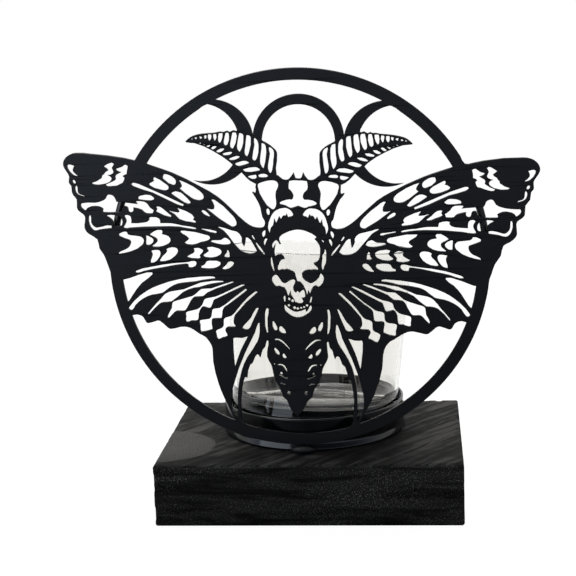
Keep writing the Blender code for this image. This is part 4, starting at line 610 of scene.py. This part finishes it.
# %% Saw the block
BLOCK_CELL = 1.25 * MM
BLOCK_EASE = 1.0 * MM
EASE_SEGMENTS = 4
block_size = block_high - block_low
block_bm = bmesh.new()
bmesh.ops.create_cube(block_bm, size=1.0)
bmesh.ops.scale(block_bm, verts=block_bm.verts, vec=block_size)
bmesh.ops.translate(block_bm, verts=block_bm.verts, vec=(block_low + block_high) / 2)
bmesh.ops.bevel(block_bm, geom=block_bm.edges[:], offset=BLOCK_EASE, offset_type="OFFSET",
                affect="EDGES", segments=EASE_SEGMENTS, profile=0.5, material=-1)
for axis in range(3):
    along = [edge for edge in block_bm.edges
             if abs(edge.verts[0].co[axis] - edge.verts[1].co[axis]) > 0.5 * block_size[axis]]
    bmesh.ops.subdivide_edges(block_bm, edges=along, cuts=int(block_size[axis] / BLOCK_CELL),
                              use_grid_fill=True)
block_bm.normal_update()
print("block:", len(block_bm.verts), "points")

# %% [markdown]
# Wear
#
# Each point goes in by a few hundredths of a millimetre, in streaks along the grain. Near an edge it
# also goes in where a second noise is high, which chips the edge. The underside stays flat, because
# the block stands on it.

# %% Wear the faces and chip the edges
GRAIN = Vector((25, 260, 260))
SAW_DEPTH = 0.05 * MM
CHIP_SCALE = 260
CHIP_START = 0.08
CHIP_DEPTH = 1.9 * MM
UNDERSIDE = block_low.z + 0.1 * MM
for vert in block_bm.verts:
    if vert.co.z < UNDERSIDE:
        continue
    near_faces = sum(min(vert.co[i] - block_low[i], block_high[i] - vert.co[i]) < BLOCK_EASE
                     for i in range(3))
    worn = SAW_DEPTH * (1 + noise.noise(vert.co * GRAIN))
    if near_faces > 1:
        worn += CHIP_DEPTH * max(0.0, noise.noise(vert.co * CHIP_SCALE) - CHIP_START)
    vert.co -= vert.normal * worn
finished(block_bm, "pine_block", wood.material, "base_block", sharp_angle=50.0)

# %% [markdown]
# Bars, weld and screw
#
# The bent bars, the weld and the screw are right as they stand in the frame, so they keep their
# solids and get a finish. The screw sits under the glass and is only seen through it.

# %% Finish the small pieces
zinc = Finish("dark_zinc", Metallic=1.0)
scratch = zinc.noise(zinc.place(stretch=(8, 1, 1)), 900.0, 3.0)
zinc.feed(Base_Color=zinc.mix(scratch, grey(0.16), grey(0.30)), Roughness=0.28 + scratch * 0.2,
          Normal=zinc.bump(scratch, 0.02 * MM, 0.5))
for node, material in (("wing_brace_left", bar_coat), ("wing_brace_right", bar_coat),
                       ("weld_bead", weld_coat), ("tray_screw", zinc.material)):
    mesh = frame["nodes"][node].data
    mesh.materials.clear()
    mesh.materials.append(material)
    print(node, "finished with", material.name)

# %% [markdown]
# The white table
#
# The holder stands on a white table before a white wall. The table is a pale surface that also glows
# to the camera and through the glass, so it reads as white and still takes the block's shadow. The
# black pieces mirror it too, and a white table before them would turn them grey. For mirror rays its
# front is therefore dark, as if a black card lay there.

# %% Finish the table
TABLE_GLOW = 1.10
GLOW_SHARE = 0.87
CARD_EDGE = (0.04, 0.14)
table_finish = Finish("white_table", Roughness=0.9)
on_card = 1 - table_finish.axes()[1].step(*CARD_EDGE)
mirrored = table_finish.ray("Is Glossy Ray")
table_finish.feed(Base_Color=table_finish.mix(mirrored * on_card, grey(0.80), grey(0.10)))
glow = table_finish.node("ShaderNodeEmission", {}, {"Color": (1, 1, 1, 1), "Strength": TABLE_GLOW})
lit = Value(table_finish, table_finish.shader.outputs[0])
glowing = table_finish.node("ShaderNodeMixShader", {},
                            {0: table_finish.seen() * GLOW_SHARE, 1: lit, 2: glow})
table_finish.join(table_finish.tree.nodes["Material Output"].inputs[0], glowing)
print("table:", table_finish.material.name)

# %% Lay the table
TABLE_WIDTH = 3.0
TABLE_DEPTH = 2.2
TABLE_FRONT = -0.13
TABLE_GAP = 0.02 * MM
table_bm = bmesh.new()
bmesh.ops.create_grid(table_bm, x_segments=1, y_segments=1, size=0.5)
bmesh.ops.scale(table_bm, verts=table_bm.verts, vec=(TABLE_WIDTH, TABLE_DEPTH, 1))
bmesh.ops.translate(table_bm, verts=table_bm.verts,
                    vec=(0, TABLE_FRONT + TABLE_DEPTH / 2, block_low.z - TABLE_GAP))
table_mesh = bpy.data.meshes.new("white_table")
table_bm.to_mesh(table_mesh)
table_bm.free()
table_mesh.materials.append(table_finish.material)
table = bpy.data.objects.new("white_table", table_mesh)
bpy.context.collection.objects.link(table)
print("table:", TABLE_WIDTH, "by", TABLE_DEPTH, "m")

# %% [markdown]
# Bright wall, dim room
#
# A glossy black shows what is in front of it, so the room behind the camera is nearly dark. A band of
# light at eye level lifts the upper part of the ring, and a soft glow at the left and a weaker one at
# the right lift the wings. Both glows lie low and end just above eye level, so that the tray's
# sloping foot, which mirrors what is higher, shows only the lamp. Towards the wall the world is
# bright, and to the camera and through the glass it is plain white.

# %% Light the room
class Sky(Finish):
    """The world's background, built from the same nodes as a finish."""

    def __init__(self, name):
        world = bpy.data.worlds.new(name)
        world.use_nodes = True
        bpy.context.scene.world = world
        self.tree = world.node_tree
        self.shader = self.tree.nodes["Background"]


WALL_LIGHT = 0.94
WALL_DIMMEST = 0.01
HORIZON_LIGHT = 0.60
LEFT_LIGHT = 0.55
RIGHT_LIGHT = 0.16
ROOM_LIGHT = 0.05
WHITE = (1, 1, 1, 1)
ROOM_BLUE = (0.80, 0.90, 1.10, 1)

sky = Sky("studio")
side, back, up = sky.axes(output="Generated")
wall = back.step(-0.35, 0.75) * WALL_LIGHT + WALL_DIMMEST
horizon = up.step(-0.16, 0.0) * (1 - up.step(0.03, 0.12))
low = up.step(-0.29, -0.12) * (1 - up.step(-0.02, 0.08))
left = (0 - side).step(0.04, 0.26) * low
right = side.step(0.0, 0.08) * low
room = horizon * HORIZON_LIGHT + left * LEFT_LIGHT + right * RIGHT_LIGHT + ROOM_LIGHT
shown = sky.seen()
sky.feed(Color=sky.mix(shown.math("MAXIMUM", back.step(-0.4, 0.2)), ROOM_BLUE, WHITE),
         Strength=shown + (1 - shown) * wall.math("MAXIMUM", room))
print("world:", bpy.context.scene.world.name)

# %% [markdown]
# Lamps
#
# A large soft lamp stands to the left, a little bluish as from a window. It draws the light lines on
# the left edges of the cut and the bright curve on the tray's flared foot. A second one hangs above
# the block for its top, and a weak one fills the right. None of them is seen through the glass.

# %% Hang the soft lamps
def soft_lamp(name, spot, target, size, power, colour):
    """A rectangular area lamp that faces its target."""
    light = bpy.data.lights.new(name, "AREA")
    light.shape = "RECTANGLE"
    light.size, light.size_y = size
    light.energy = power
    light.color = colour
    lamp = bpy.data.objects.new(name, light)
    bpy.context.collection.objects.link(lamp)
    lamp.location = spot
    lamp.rotation_euler = (Vector(target) - Vector(spot)).to_track_quat("-Z", "Y").to_euler()
    lamp.visible_transmission = False
    print(name, "gives", power, "W")


soft_lamp("window_left", (-0.89, -0.82, 0.33), (0, 0, 0.08), (0.93, 0.60), 3.4, (0.80, 0.90, 1.0))
soft_lamp("overhead", (-0.15, 0.25, 1.10), (0, 0, 0.05), (0.9, 0.7), 12.0, (1.0, 0.99, 0.97))
soft_lamp("fill_right", (0.90, -0.50, 0.50), (0, 0, 0.06), (0.3, 0.4), 0.7, (1.0, 0.98, 0.95))

# %% [markdown]
# The camera
#
# The holder is seen through a long lens, from a little above and slightly to the right, and the
# picture is turned by two degrees. The place, the turns and the focal length below were fitted to
# the corners of the block, the ring and the tray.

# %% Place the camera
CAMERA_SPOT = (49.45 * MM, -617.56 * MM, 211.50 * MM)
CAMERA_LEFT_TURN = math.radians(5.494)
CAMERA_DOWN_TILT = math.radians(10.902)
CAMERA_ROLL = math.radians(-2.017)
FOCAL_LENGTH = 89.55
SENSOR_WIDTH = 36.0
lens = bpy.data.cameras.new("camera")
lens.lens = FOCAL_LENGTH
lens.sensor_width = SENSOR_WIDTH
lens.clip_start = 0.01
camera = bpy.data.objects.new("camera", lens)
bpy.context.collection.objects.link(camera)
camera.matrix_world = (Matrix.Translation(CAMERA_SPOT) @ Matrix.Rotation(CAMERA_LEFT_TURN, 4, "Z")
                       @ Matrix.Rotation(math.pi / 2 - CAMERA_DOWN_TILT, 4, "X")
                       @ Matrix.Rotation(CAMERA_ROLL, 4, "Z"))
bpy.context.scene.camera = camera
bpy.context.scene.view_settings.view_transform = "Standard"
print("camera at", [round(value, 4) for value in camera.location])
